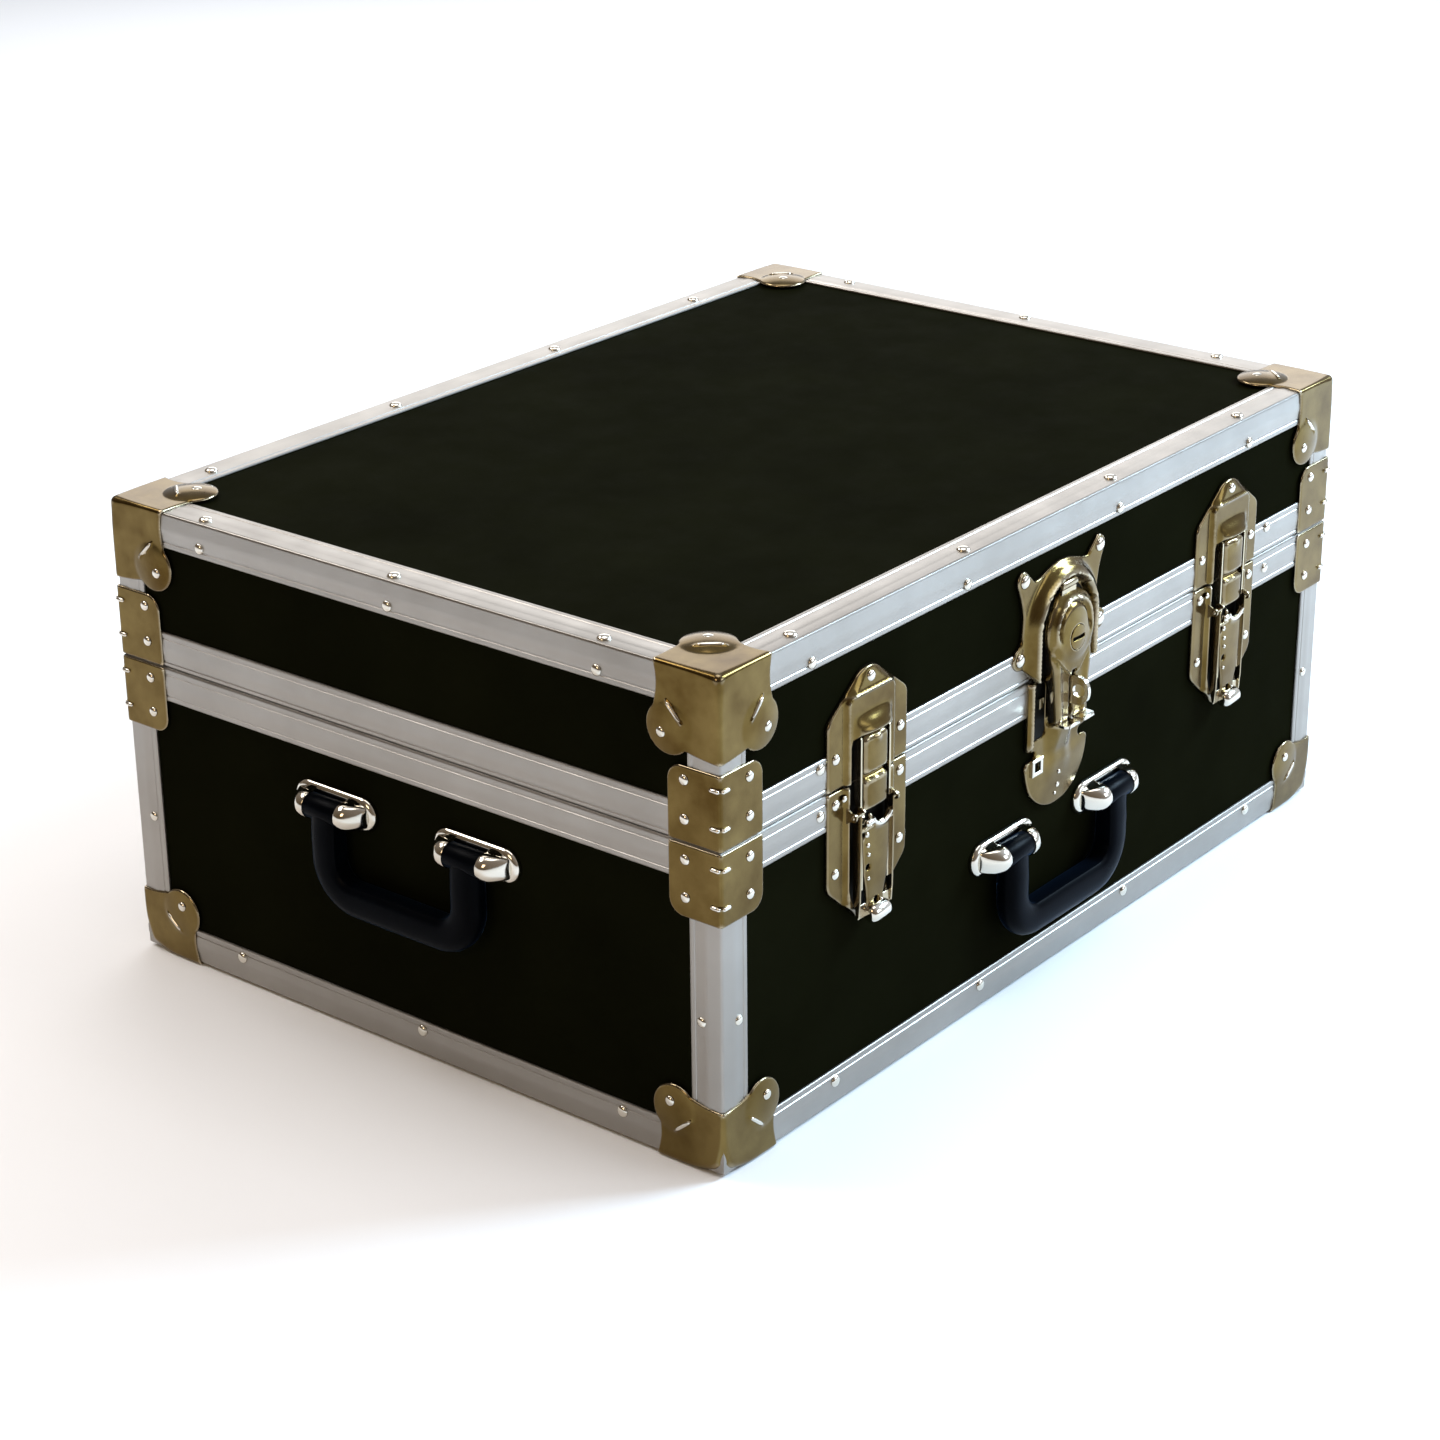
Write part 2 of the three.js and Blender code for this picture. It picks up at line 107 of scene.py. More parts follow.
def add_node(tree, kind, values=(), links=(), **settings):
    """Adds a shader node, sets its numbers and links its inputs."""
    node = tree.nodes.new("ShaderNode" + kind)
    for key, value in settings.items():
        setattr(node, key, value)
    for key, value in dict(values).items():
        node.inputs[key].default_value = value
    for key, socket in dict(links).items():
        tree.links.new(socket, node.inputs[key])
    return node


def noise(tree, vector, scale, detail=4.0, rough=0.6):
    values = {"Scale": scale, "Detail": detail, "Roughness": rough}
    return add_node(tree, "TexNoise", values, {"Vector": vector}).outputs["Fac"]


def remap(tree, value, source, target=(0.0, 1.0)):
    values = dict(zip(("From Min", "From Max", "To Min", "To Max"), (*source, *target)))
    return add_node(tree, "MapRange", values, {"Value": value}).outputs["Result"]


def ramp(tree, fac, *stops):
    """A colour ramp of two or three stops, each a position and a colour."""
    node = add_node(tree, "ValToRGB", links={"Fac": fac})
    elements = node.color_ramp.elements
    for element, (at, color) in zip(elements, (stops[0], stops[-1])):
        element.position = at
        element.color = (*color, 1)
    for at, color in stops[1:-1]:
        elements.new(at).color = (*color, 1)
    return node.outputs["Color"]


MIDDLE = (0.3, 0.7)  # the range that a noise value mostly stays in
WEAR_AND_HIGHLIGHT = (0.515, 0.575)  # pointiness from a plain edge to a fully brightened one, part wear and part painted highlight


def worn_and_highlit(tree, color, wear_and_highlight_tone):
    """Brightens a colour along convex edges: partly rubbed wear, partly a painted highlight."""
    edge = remap(tree, add_node(tree, "NewGeometry").outputs["Pointiness"], WEAR_AND_HIGHLIGHT)
    links = {"Factor": edge, "A": color}
    return add_node(tree, "Mix", {"B": (*wear_and_highlight_tone, 1)}, links, data_type="RGBA").outputs["Result"]


def surface(
    slot, name, low, high, rough, metallic, grain, grain_scale, drift=9.0, specular=0.5, wear_and_highlight_tone=None
):
    """One finish: colour and roughness drift at hand scale, with a fine bump on top."""
    mat, tree, shader = new_material(name)
    vector = add_node(tree, "TexCoord").outputs["Object"]
    color = ramp(tree, noise(tree, vector, drift), (MIDDLE[0], low), (MIDDLE[1], high))
    if wear_and_highlight_tone:
        color = worn_and_highlit(tree, color, wear_and_highlight_tone)
    smear = noise(tree, vector, 34.0, 5.0)
    fine = noise(tree, vector, grain_scale, 3.0)
    bump = add_node(tree, "Bump", {"Strength": grain, "Distance": 0.0004}, {"Height": fine})
    tree.links.new(color, shader.inputs["Base Color"])
    tree.links.new(remap(tree, smear, MIDDLE, rough), shader.inputs["Roughness"])
    tree.links.new(bump.outputs["Normal"], shader.inputs["Normal"])
    shader.inputs["Metallic"].default_value = metallic
    shader.inputs["Specular IOR Level"].default_value = specular
    return mat, slot


# Each finish: its record slot, its name, two colours, roughness, metallic, bump strength and scale.
PANEL = surface(
    "panel_black", "black_laminate", (0.0036, 0.0037, 0.0014), (0.0054, 0.0056, 0.0022),
    (0.46, 0.6), 0.0, 0.12, 900.0, specular=0.001,
)
ALUMINIUM = surface(
    "aluminium_trim", "satin_aluminium", (0.3, 0.28, 0.255), (0.36, 0.34, 0.315),
    (0.3, 0.4), 0.97, 0.03, 900.0,
)
# The plated finish is brightened on convex edges, partly as wear and partly as a painted highlight.
PLATED = surface(
    "plated_steel", "plated_steel", (0.078, 0.045, 0.009), (0.178, 0.124, 0.042),
    (0.13, 0.22), 0.98, 0.04, 260.0, drift=24.0, wear_and_highlight_tone=(0.5, 0.43, 0.31),
)
NICKEL = surface(
    "bright_nickel", "bright_nickel", (0.62, 0.58, 0.5), (0.74, 0.7, 0.62),
    (0.07, 0.15), 1.0, 0.04, 260.0,
)
GRIP = surface(
    "grip_black", "black_grip", (0.0004, 0.0006, 0.0011), (0.0008, 0.0013, 0.0024),
    (0.27, 0.38), 0.0, 0.15, 700.0, specular=0.022,
)
GRIP_SHADER = GRIP[0].node_tree.nodes["Principled BSDF"]
GRIP_SHADER.inputs["Sheen Weight"].default_value = 0.06
GRIP_SHADER.inputs["Sheen Roughness"].default_value = 0.35
GRIP_SHADER.inputs["Sheen Tint"].default_value = (0.22, 0.5, 1.0, 1.0)
# Painted shade: a near-black finish for sheets laid where there is only shade, in gaps, holes and deep
# channels.
PAINTED_SHADE = surface(
    "plated_steel", "painted_recess_shade", (0.0018, 0.0016, 0.001), (0.004, 0.0034, 0.002),
    (0.5, 0.7), 0.0, 0.2, 300.0, specular=0.1,
)
BRASS_PIN = surface(
    "key_cylinder", "key_cylinder", (0.14, 0.092, 0.026), (0.19, 0.13, 0.045),
    (0.14, 0.22), 0.98, 0.05, 400.0,
)
# Painted shade: the dark finish at the bottom of the key slot stands in for the shade inside the
# keyhole.
KEY_HOLE_SHADE = (PAINTED_SHADE[0], BRASS_PIN[1])
LINING = surface(
    "panel_black", "inside_paper", (0.018, 0.018, 0.017), (0.032, 0.032, 0.03),
    (0.7, 0.85), 0.0, 0.4, 500.0, specular=0.2,
)


# ---- Mesh helpers ----
def face_matrix(face, u=0.0, z=0.0, out=0.0):
    """Local x runs along the face, y up and z out of it, in millimetres of the row frame."""
    along, normal = {
        "front": ((1, 0), (0, -1)),
        "back": ((-1, 0), (0, 1)),
        "left": ((0, -1), (-1, 0)),
        "right": ((0, 1), (1, 0)),
    }[face]
    x = along[0] * u + normal[0] * out
    y = along[1] * u + normal[1] * out + SHIFT
    rows = ((along[0], 0, normal[0], x), (along[1], 0, normal[1], y), (0, 1, 0, z), (0, 0, 0, 1))
    return Matrix(rows)


def flipped(faces):
    return [tuple(reversed(f)) for f in faces]


def placed(part, matrix):
    verts, faces = part
    moved = [tuple(matrix @ Vector(v)) for v in verts]
    return moved, flipped(faces) if matrix.determinant() < 0 else faces


def edit(mesh, change):
    bm = bmesh.new()
    bm.from_mesh(mesh)
    change(bm)
    bm.to_mesh(mesh)
    bm.free()


def build(name, part, finish, body, matrix=None, replaces=(), sharp=32.0):
    """Makes one piece from a part in millimetres, and gives it its body and finish."""
    mat, slot = finish
    verts, faces = placed(part, matrix or Matrix.Identity(4))
    mesh = bpy.data.meshes.new(name)
    mesh.from_pydata([tuple(Vector(v) * MM) for v in verts], [], faces)
    edit(mesh, lambda bm: bmesh.ops.remove_doubles(bm, verts=bm.verts, dist=1e-6))
    mesh.polygons.foreach_set("use_smooth", [True] * len(mesh.polygons))
    mesh.set_sharp_from_angle(angle=math.radians(sharp))
    mesh.materials.append(mat)
    piece = bpy.data.objects.new(name, mesh)
    bpy.context.scene.collection.objects.link(piece)
    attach(piece, body)
    if replaces:
        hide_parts(*replaces)
    return piece


def bevelled(piece, width=0.4, segments=2, angle=38.0):
    mod = piece.modifiers.new("bevel", "BEVEL")
    mod.width = width * MM
    mod.segments = segments
    mod.limit_method = "ANGLE"
    mod.angle_limit = math.radians(angle)
    mod.harden_normals = True
    return piece


def shelled(piece, thickness=0.5):
    mod = piece.modifiers.new("sheet", "SOLIDIFY")
    mod.thickness = thickness * MM
    mod.offset = -1.0
    return piece


def arc(cx, cy, r, start, end, count=12):
    angles = np.radians(np.linspace(start, end, count))
    return [(cx + r * math.cos(a), cy + r * math.sin(a)) for a in angles]


def curve(points, count=10):
    """A quadratic curve through a start, a control point and an end, without the start."""
    (x0, y0), (x1, y1), (x2, y2) = points
    out = []
    for i in range(1, count + 1):
        t = i / count
        a, b, c = (1 - t) ** 2, 2 * t * (1 - t), t * t
        out.append((a * x0 + b * x1 + c * x2, a * y0 + b * y1 + c * y2))
    return out


def trace(*steps):
    """An outline. A step is a point, or a curve: its control point, its end and a count."""
    out = []
    for step in steps:
        out += [step] if len(step) == 2 else curve((out[-1], step[:2], step[2:4]), step[4])
    return out


def left_of(points):
    """The mirror image of an outline's right half, without the points on the centre line."""
    return [(-a, b) for a, b in reversed(points[1:-1])]


def tidy_loop(points):
    out = []
    for p in points:
        if not out or math.dist(p, out[-1]) > 1e-4:
            out.append(p)
    if math.dist(out[0], out[-1]) < 1e-4:
        out.pop()
    return out


def resample(points, step, closed=True):
    out = []
    last = len(points) if closed else len(points) - 1
    for i in range(last):
        a, b = points[i], points[(i + 1) % len(points)]
        n = max(1, int(math.ceil(math.dist(a, b) / step - 1e-6)))
        for k in range(n):
            out.append((a[0] + (b[0] - a[0]) * k / n, a[1] + (b[1] - a[1]) * k / n))
    if not closed:
        out.append(points[-1])
    return out


def distance(points, line, closed=True):
    """The distance of each point to a polyline."""
    p = np.asarray(points, float)
    a = np.asarray(line, float)
    b = np.roll(a, -1, 0)
    if not closed:
        a, b = a[:-1], b[:-1]
    best = np.full(len(p), 1e9)
    for s, e in zip(a, b):
        d = e - s
        t = np.clip(((p - s) @ d) / max(d @ d, 1e-12), 0, 1)
        best = np.minimum(best, np.hypot(*(p - s - t[:, None] * d).T))
    return best


def inside(points, loop):
    p = np.asarray(points, float)
    x, y = p[:, 0], p[:, 1]
    hit = np.zeros(len(p), bool)
    a = np.asarray(loop, float)
    for (x0, y0), (x1, y1) in zip(a, np.roll(a, -1, 0)):
        if y0 == y1:
            continue
        cross = (y0 > y) != (y1 > y)
        hit ^= cross & (x < (x1 - x0) * (y - y0) / (y1 - y0) + x0)
    return hit


def near_lines(lines, width, step=1.0):
    """Extra sample points along and beside each pressed line."""
    out = []
    for line in lines:
        for (x0, y0), (x1, y1) in zip(line[:-1], line[1:]):
            length = math.dist((x0, y0), (x1, y1))
            dx, dy = (x1 - x0) / length, (y1 - y0) / length
            for s in np.arange(-width, length + width, step):
                for f in (-1, -0.6, -0.25, 0, 0.25, 0.6, 1):
                    off = f * width
                    out.append((x0 + dx * s - dy * off, y0 + dy * s + dx * off))
    return out


def triangulate(loops, extra):
    points, edges = [], []
    for loop in loops:
        first = len(points)
        points += loop
        edges += [(first + i, first + (i + 1) % len(loop)) for i in range(len(loop))]
    points += extra
    result = delaunay_2d_cdt([Vector(p) for p in points], edges, [], 0, 1e-5)
    flat = np.array([tuple(v) for v in result[0]])
    tris = [tuple(f) for f in result[2]]
    centre = np.array([flat[list(t)].mean(0) for t in tris])
    keep = inside(centre, loops[0])
    for hole in loops[1:]:
        keep &= ~inside(centre, hole)
    return flat, [t for t, k in zip(tris, keep) if k]


def grid_points(loop, step):
    lo, hi = np.min(loop, 0), np.max(loop, 0)
    out = []
    row = 0
    for y in np.arange(lo[1], hi[1], step * 0.87):
        row += 1
        for x in np.arange(lo[0] + (row % 2) * step / 2, hi[0], step):
            out.append((x, y))
    return out


def roll_off(d, roll):
    """How far a rounded edge has dropped at a distance from it."""
    t = np.clip(1 - d / roll, 0, 1)
    return -roll * (1 - np.sqrt(np.clip(1 - t * t, 0, 1)))


def pressed(outline, height, step=1.6, roll=1.4, holes=(), lines=(), line_width=1.6, hole_roll=None):
    """A pressed sheet over an outline: its top surface, with the edges rolled down."""
    loops = [resample(tidy_loop(outline), step)]
    loops += [resample(tidy_loop(h), step) for h in holes]
    extra = []
    for loop in loops:
        a = np.array(loop)
        t = np.roll(a, -1, 0) - np.roll(a, 1, 0)
        n = np.stack([-t[:, 1], t[:, 0]], 1) / np.maximum(np.hypot(*t.T), 1e-9)[:, None]
        area = 0.5 * np.sum(a[:, 0] * np.roll(a[:, 1], -1) - np.roll(a[:, 0], -1) * a[:, 1])
        side = 1 if (area > 0) == (loop is loops[0]) else -1
        for f in (0.1, 0.35, 0.7, 1.15) if roll < 3 else (0.04, 0.13, 0.27, 0.45, 0.68, 0.95, 1.15):
            ring = a + n * side * f * roll
            d = np.min([distance(ring, other) for other in loops], 0)
            extra += [tuple(p) for p, q in zip(ring, d) if q > 0.92 * f * roll]
    body = grid_points(loops[0], step) + near_lines(lines, line_width)
    d = np.min([distance(body, other) for other in loops], 0)
    extra += [p for p, q in zip(body, d) if q > roll * 1.15 + 0.3 * step]
    keep = inside(extra, loops[0])
    for hole in loops[1:]:
        keep &= ~inside(extra, hole)
    extra = [p for p, k in zip(extra, keep) if k]
    flat, tris = triangulate(loops, extra)
    drop = roll_off(distance(flat, loops[0]), roll)
    for hole in loops[1:]:
        drop = np.minimum(drop, roll_off(distance(flat, hole), hole_roll or roll))
    w = CAP + height(flat[:, 0], flat[:, 1]) + drop
    return np.column_stack([flat, w]), tris


def merged(*parts):
    verts, faces = [], []
    for v, f in parts:
        base = len(verts)
        verts += [tuple(p) for p in v]
        faces += [tuple(i + base for i in face) for face in f]
    return verts, faces


def prism(outline, low, high):
    """A closed prism over an outline, from one height to another."""
    loop = tidy_loop(outline)
    flat, tris = triangulate([loop], [])
    n = len(flat)
    verts = [(x, y, high) for x, y in flat] + [(x, y, low) for x, y in flat]
    faces = list(tris) + [tuple(i + n for i in reversed(t)) for t in tris]
    pairs = [(i, (i + 1) % len(loop)) for i in range(len(loop))]
    area = sum(loop[i][0] * loop[j][1] - loop[j][0] * loop[i][1] for i, j in pairs)
    walls = [(i, i + n, j + n, j) for i, j in pairs]
    return verts, faces + (walls if area > 0 else flipped(walls))


def sideways(part):
    """Turns a part drawn in (v, w) with its thickness as z into (u, v, w)."""
    verts, faces = part
    return [(z, x, y) for x, y, z in verts], faces


def lathe(profile, segments=20):
    """Turns a profile of (radius, height) points, first and last on the axis, about z."""
    verts, faces = [], []
    rings = []
    for r, h in profile:
        if r < 1e-6:
            rings.append([len(verts)] * segments)
            verts.append((0, 0, h))
        else:
            rings.append(list(range(len(verts), len(verts) + segments)))
            for k in range(segments):
                a = 2 * math.pi * k / segments
                verts.append((r * math.cos(a), r * math.sin(a), h))
    for a, b in zip(rings[:-1], rings[1:]):
        for k in range(segments):
            j = (k + 1) % segments
            face = [a[k], a[j], b[j], b[k]]
            face = [v for i, v in enumerate(face) if v not in face[:i]]
            if len(face) > 2:
                faces.append(tuple(face))
    return verts, faces


def box_part(x, y, z):
    loop = [(x[0], y[0]), (x[1], y[0]), (x[1], y[1]), (x[0], y[1])]
    return prism(loop, *z)


def rod_part(radius, low, high, v, w, segments=24, round_end=0.5):
    """A round bar along local x with eased ends."""
    e = min(round_end, radius * 0.6)
    profile = [(0, low), (radius - e, low), (radius - e * 0.3, low + e * 0.3), (radius, low + e)]
    profile += [(radius, high - e), (radius - e * 0.3, high - e * 0.3), (radius - e, high), (0, high)]
    verts, faces = lathe(profile, segments)
    return [(z, x + v, y + w) for x, y, z in verts], faces


RIVET_PROFILE = [(0, -0.6), (4.3, -0.6), (4.5, 0.0), (4.45, 0.45), (4.1, 1.05)]
RIVET_PROFILE += [(3.3, 1.65), (2.2, 2.05), (1.1, 2.25), (0, 2.3)]


def rivet_at(matrix, scale=1.0):
    return placed(lathe(RIVET_PROFILE, 18), matrix @ Matrix.Scale(scale, 4))


def rivet(face, u, z, out, scale=1.0):
    return rivet_at(face_matrix(face, u, z, out), scale)


def top_rivet(x, y, z, down=False):
    turn = Matrix.Rotation(math.pi if down else 0.0, 4, "X")
    return rivet_at(Matrix.Translation((x, y + SHIFT, z)) @ turn)


# ---- Trims ----
def ring_sweep(profile):
    """Carries a closed profile of (inset, z) round the box, mitred at the corners."""
    n = len(profile)
    verts, faces = [], []
    for sx, sy in ((-1, -1), (1, -1), (1, 1), (-1, 1)):
        verts += [(sx * (HX - o), sy * (HY - o) + SHIFT, z) for o, z in profile]
    for c in range(4):
        a, b = c * n, ((c + 1) % 4) * n
        for i in range(n):
            j = (i + 1) % n
            faces.append((a + i, b + i, b + j, a + j))
    return verts, faces


RIB_SHAPES = {
    "groove": ((-1, 0.0), (-0.4, -0.4), (0.4, -0.4), (1, 0.0)),
    "ridge": ((-1, 0.0), (-0.62, 0.24), (0, 0.34), (0.62, 0.24), (1, 0.0)),
}


def rib_profile(width, ribs):
    """Height along a leg, from its free edge inward: a lip, then the ribs it is given."""
    points = [(0.0, -1.1), (0.2, -0.45), (0.7, -0.05), (1.4, 0.12), (2.3, 0.1), (3.0, -0.04)]
    for kind, at, size in ribs:
        points += [(at + size * f, h) for f, h in RIB_SHAPES[kind]]
    return points + [(width - 1.98, 0.0)]


TRIM_RIBS = [("groove", 4.4, 0.7), ("ridge", 12.8, 4.0)]
LID_RIM_RIBS = [("groove", 4.4, 0.6), ("ridge", 12.4, 4.6), ("groove", 20.6, 0.8)]
BASE_RIM_RIBS = [("groove", 4.2, 0.6), ("ridge", 11.6, 4.6), ("groove", 19.2, 0.6)]


def band_profile(free, corner, ribs, flange_ribs=None, flange=10.0):
    """A closed section: an upright leg from its free edge to the corner, and a flange."""
    sign = 1 if corner > free else -1
    leg = rib_profile(abs(corner - free), ribs)
    outer = [(TRIM_IN - h, free + sign * s) for s, h in leg]
    outer += [
        (TRIM_IN + 0.15, corner - sign * 1.2),
        (TRIM_IN + 0.6, corner - sign * 0.5),
        (TRIM_IN + 1.2, corner - sign * 0.12),
    ]
    if flange_ribs is not None:
        across = rib_profile(flange, flange_ribs)
        outer += [(TRIM_IN + flange - s, corner + sign * h) for s, h in reversed(across)]
    else:
        outer += [(TRIM_IN + flange, corner)]
    inner = [
        (TRIM_IN + flange, corner - sign * 1.4),
        (TRIM_IN + 1.5, corner - sign * 1.4),
        (TRIM_IN + 1.5, free),
    ]
    loop = outer + inner
    return loop if sign > 0 else list(reversed(loop))


def trims():
    low, top = TRIM_IN, HEIGHT - TRIM_IN
    seam_low, seam_high = SEAM - HALF_GAP, SEAM + HALF_GAP
    rings = {
        "base_bottom_trim": ("base", band_profile(low + LEG, low, TRIM_RIBS, TRIM_RIBS, LEG)),
        "base_rim": ("base", band_profile(seam_low - LEG, seam_low, BASE_RIM_RIBS)),
        "lid_rim": ("lid", band_profile(seam_high + LEG, seam_high, LID_RIM_RIBS)),
        "lid_top_trim": ("lid", band_profile(top - LEG, top, TRIM_RIBS, TRIM_RIBS, LEG)),
    }
    for node, (body, profile) in rings.items():
        part = ring_sweep(profile)
        if node == "lid_top_trim":
            span = (seam_high + LEG + 0.3, top - LEG - 0.2)
            part = merged(part, *[corner_post(*corner, *span) for corner in CORNERS])
        build(f"look_{node}", part, ALUMINIUM, body, replaces=(node,), sharp=24)
    for (sx, sy), name in CORNERS.items():
        part = corner_post(sx, sy, low + LEG + 0.3, seam_low - LEG - 0.3)
        node = f"base_corner_trim_{name}"
        build(f"look_{node}", part, ALUMINIUM, "base", replaces=(node,), sharp=24)


def corner_post(sx, sy, low, high):
    leg = rib_profile(LEG, TRIM_RIBS)
    along = [(LEG - s, -h) for s, h in leg]
    outer = [(x, y) for x, y in along] + [(1.2, 0.15), (0.6, 0.5), (0.3, 0.8), (0.12, 1.3)]
    outer += [(y, x) for x, y in reversed(along)]
    loop = outer + [(1.5, LEG), (1.5, 1.5), (LEG, 1.5)]
    return placed(prism(loop[::-1], low, high), corner_matrix(sx, sy, 0, 1, TRIM_IN))


def corner_matrix(sx, sy, z, sz, inset=0.0):
    """Local x, y and z run inward from a corner of the box."""
    x, y = sx * (HX - inset), sy * (HY - inset) + SHIFT
    return Matrix(((-sx, 0, 0, x), (0, -sy, 0, y), (0, 0, sz, z), (0, 0, 0, 1)))


# ---- Corner caps and edge clamps ----
def bead(x, y, line, width, tall):
    """A pressed line: a ridge along a segment with round ends."""
    p = np.column_stack([x, y])
    d = distance(p, line, closed=False)
    return tall * np.exp(-((d / width) ** 2) * 1.6)


def bell(x, width):
    return np.exp(-((x / width) ** 2))


def smooth(x, low, high):
    t = np.clip((x - low) / (high - low), 0, 1)
    return t * t * (3 - 2 * t)


def dome(x, y, cx, cy, r, tall):
    d = np.hypot(x - cx, y - cy) / r
    return tall * np.clip(1 - d * d, 0, None) ** 0.9


REACH = 70  # past the far edge of every corner sheet


def corner_sheet(faces, edge_r, apex_r, step=1.5, roll=1.3):
    """Sheets on the faces that meet at a corner. Each face is given as its free edge (from the
    first box edge round to the second), a height function and its pressed lines. The result
    is in inward distances (a, b, c) from the sharp corner."""
    rows = [edge_r * k for k in (0.0, 0.22, 0.45, 0.7, 1.0)]
    parts = []
    for kind, (free, height, lines) in faces.items():
        along, up = free[0][0], free[-1][1]
        free = resample(free, step, closed=False)
        bottom = sorted([*np.arange(0, along - 0.4 * step, step), *rows[1:4]])
        left = sorted([*np.arange(step, up - 0.4 * step, step), *rows[1:4]], reverse=True)
        loop = [(p, 0.0) for p in bottom] + free + [(0.0, q) for q in left]
        loop = tidy_loop([(float(p), float(q)) for p, q in loop])
        extra = []
        for r in rows[1:]:
            extra += [(p, r) for p in [*rows[1:], *np.arange(edge_r + step, REACH, step)]]
            extra += [(r, q) for q in np.arange(edge_r + step, REACH, step)]
        a = np.array(free)
        t = np.gradient(a, axis=0)
        n = np.stack([-t[:, 1], t[:, 0]], 1) / np.maximum(np.hypot(*t.T), 1e-9)[:, None]
        for f in (0.1, 0.35, 0.7, 1.15):
            ring = a + n * f * roll
            d = distance(ring, free, closed=False)
            extra += [tuple(p) for p, q in zip(ring, d) if q > 0.92 * f * roll and min(p) > 0.4]
        body = grid_points([(edge_r, edge_r), (75, 75)], step) + near_lines(lines, 1.6)
        d = distance(body, free, closed=False)
        extra += [p for p, q in zip(body, d) if q > roll * 1.3 + 0.3 and min(p) > edge_r + 0.6]
        keep = inside(extra, loop)
        extra = [p for p, k in zip(extra, keep) if k]
        flat, tris = triangulate([loop], extra)
        d = distance(flat, free, closed=False)
        p, q = flat[:, 0], flat[:, 1]
        lift = height(p, q) + roll_off(d, roll)
        zero = np.zeros_like(p)
        sharp = {"front": (p, zero, q), "side": (zero, p, q), "flat": (p, q, zero)}[kind]
        point = np.column_stack(sharp)
        away = np.linalg.norm(point, axis=1)
        r = edge_r + (apex_r - edge_r) * bell(away, 16.0)
        core = np.maximum(point, r[:, None])
        out = point - core
        out /= np.maximum(np.linalg.norm(out, axis=1), 1e-9)[:, None]
        at = core + out * (r + lift)[:, None]
        parts.append((at, tris if kind == "front" else flipped(tris)))
    return merged(*parts)


def lobed_edge(along, up, lobe):
    cx, cy, r = lobe
    k = r * math.sqrt(0.5)
    line = trace((along, 0.0), (along - 5, 14, cx + k, cy - k, 12))
    line += arc(cx, cy, r, -45, 135, 30)[1:]
    return line + curve([(cx - k, cy + k), (0.55 * (cx - k), up - 0.6), (0.0, up)], 10)


def cap_height(lobe, line, tall):
    cx, cy, r = lobe

    return lambda p, q: dome(p, q, cx, cy, r, tall) + bead(p, q, line, 1.1, 0.9)


def clamp_edge(leg, tall):
    return trace((leg, 0.0), (leg, tall - 10), (leg - 1, tall - 2, leg - 9, tall, 6), (0.0, tall))


def clamp_height(beads):
    def height(p, q):
        ridges = sum(np.exp(-(((q - at) / 1.1) ** 2) * 1.4) for at in beads)
        return ridges * (1 - smooth(p, 6.0, 9.0))

    return height


def corner_rivets(spots, sx, sy, z, sz, level=0.0, flat=(), scale=0.76):
    """Rivets on the two upright faces at a corner, at (inward, from the end) distances."""
    out = []
    front, side = "front" if sy < 0 else "back", "left" if sx < 0 else "right"
    for along, away in spots:
        out.append(rivet(front, -sx * sy * (HX - along), z + sz * away, HY + level, scale))
        out.append(rivet(side, sx * sy * (HY - along), z + sz * away, HX + level, scale))
    for a, b in flat:
        out.append(top_rivet(sx * (HX - a), sy * (HY - b), z - sz * level, down=sz > 0))
    return out


def crest(start, end, radius, segments=10):
    """A round bright line between two points, tapered at its ends: a painted highlight laid along a
    pressed bead.
    """
    a, b = Vector(start), Vector(end)
    along = (b - a).normalized()
    side = along.orthogonal().normalized()
    up = along.cross(side)
    taper = ((0, 0.25), (0.03, 0.6), (0.1, 0.9), (0.25, 1))
    taper += tuple((1 - t, r) for t, r in reversed(taper))
    return loft([circle(a + (b - a) * t, side, up, radius * r, segments) for t, r in taper])


def circle(centre, x_axis, y_axis, radius, segments):
    turn = np.linspace(0, 2 * math.pi, segments, endpoint=False)
    return [tuple(centre + (x_axis * math.cos(w) + y_axis * math.sin(w)) * radius) for w in turn]


def clamp_faces(tall, beads):
    lines = [[(0.5, at), (8, at)] for at in beads]
    return {k: (clamp_edge(40, tall), clamp_height(beads), lines) for k in ("front", "side")}


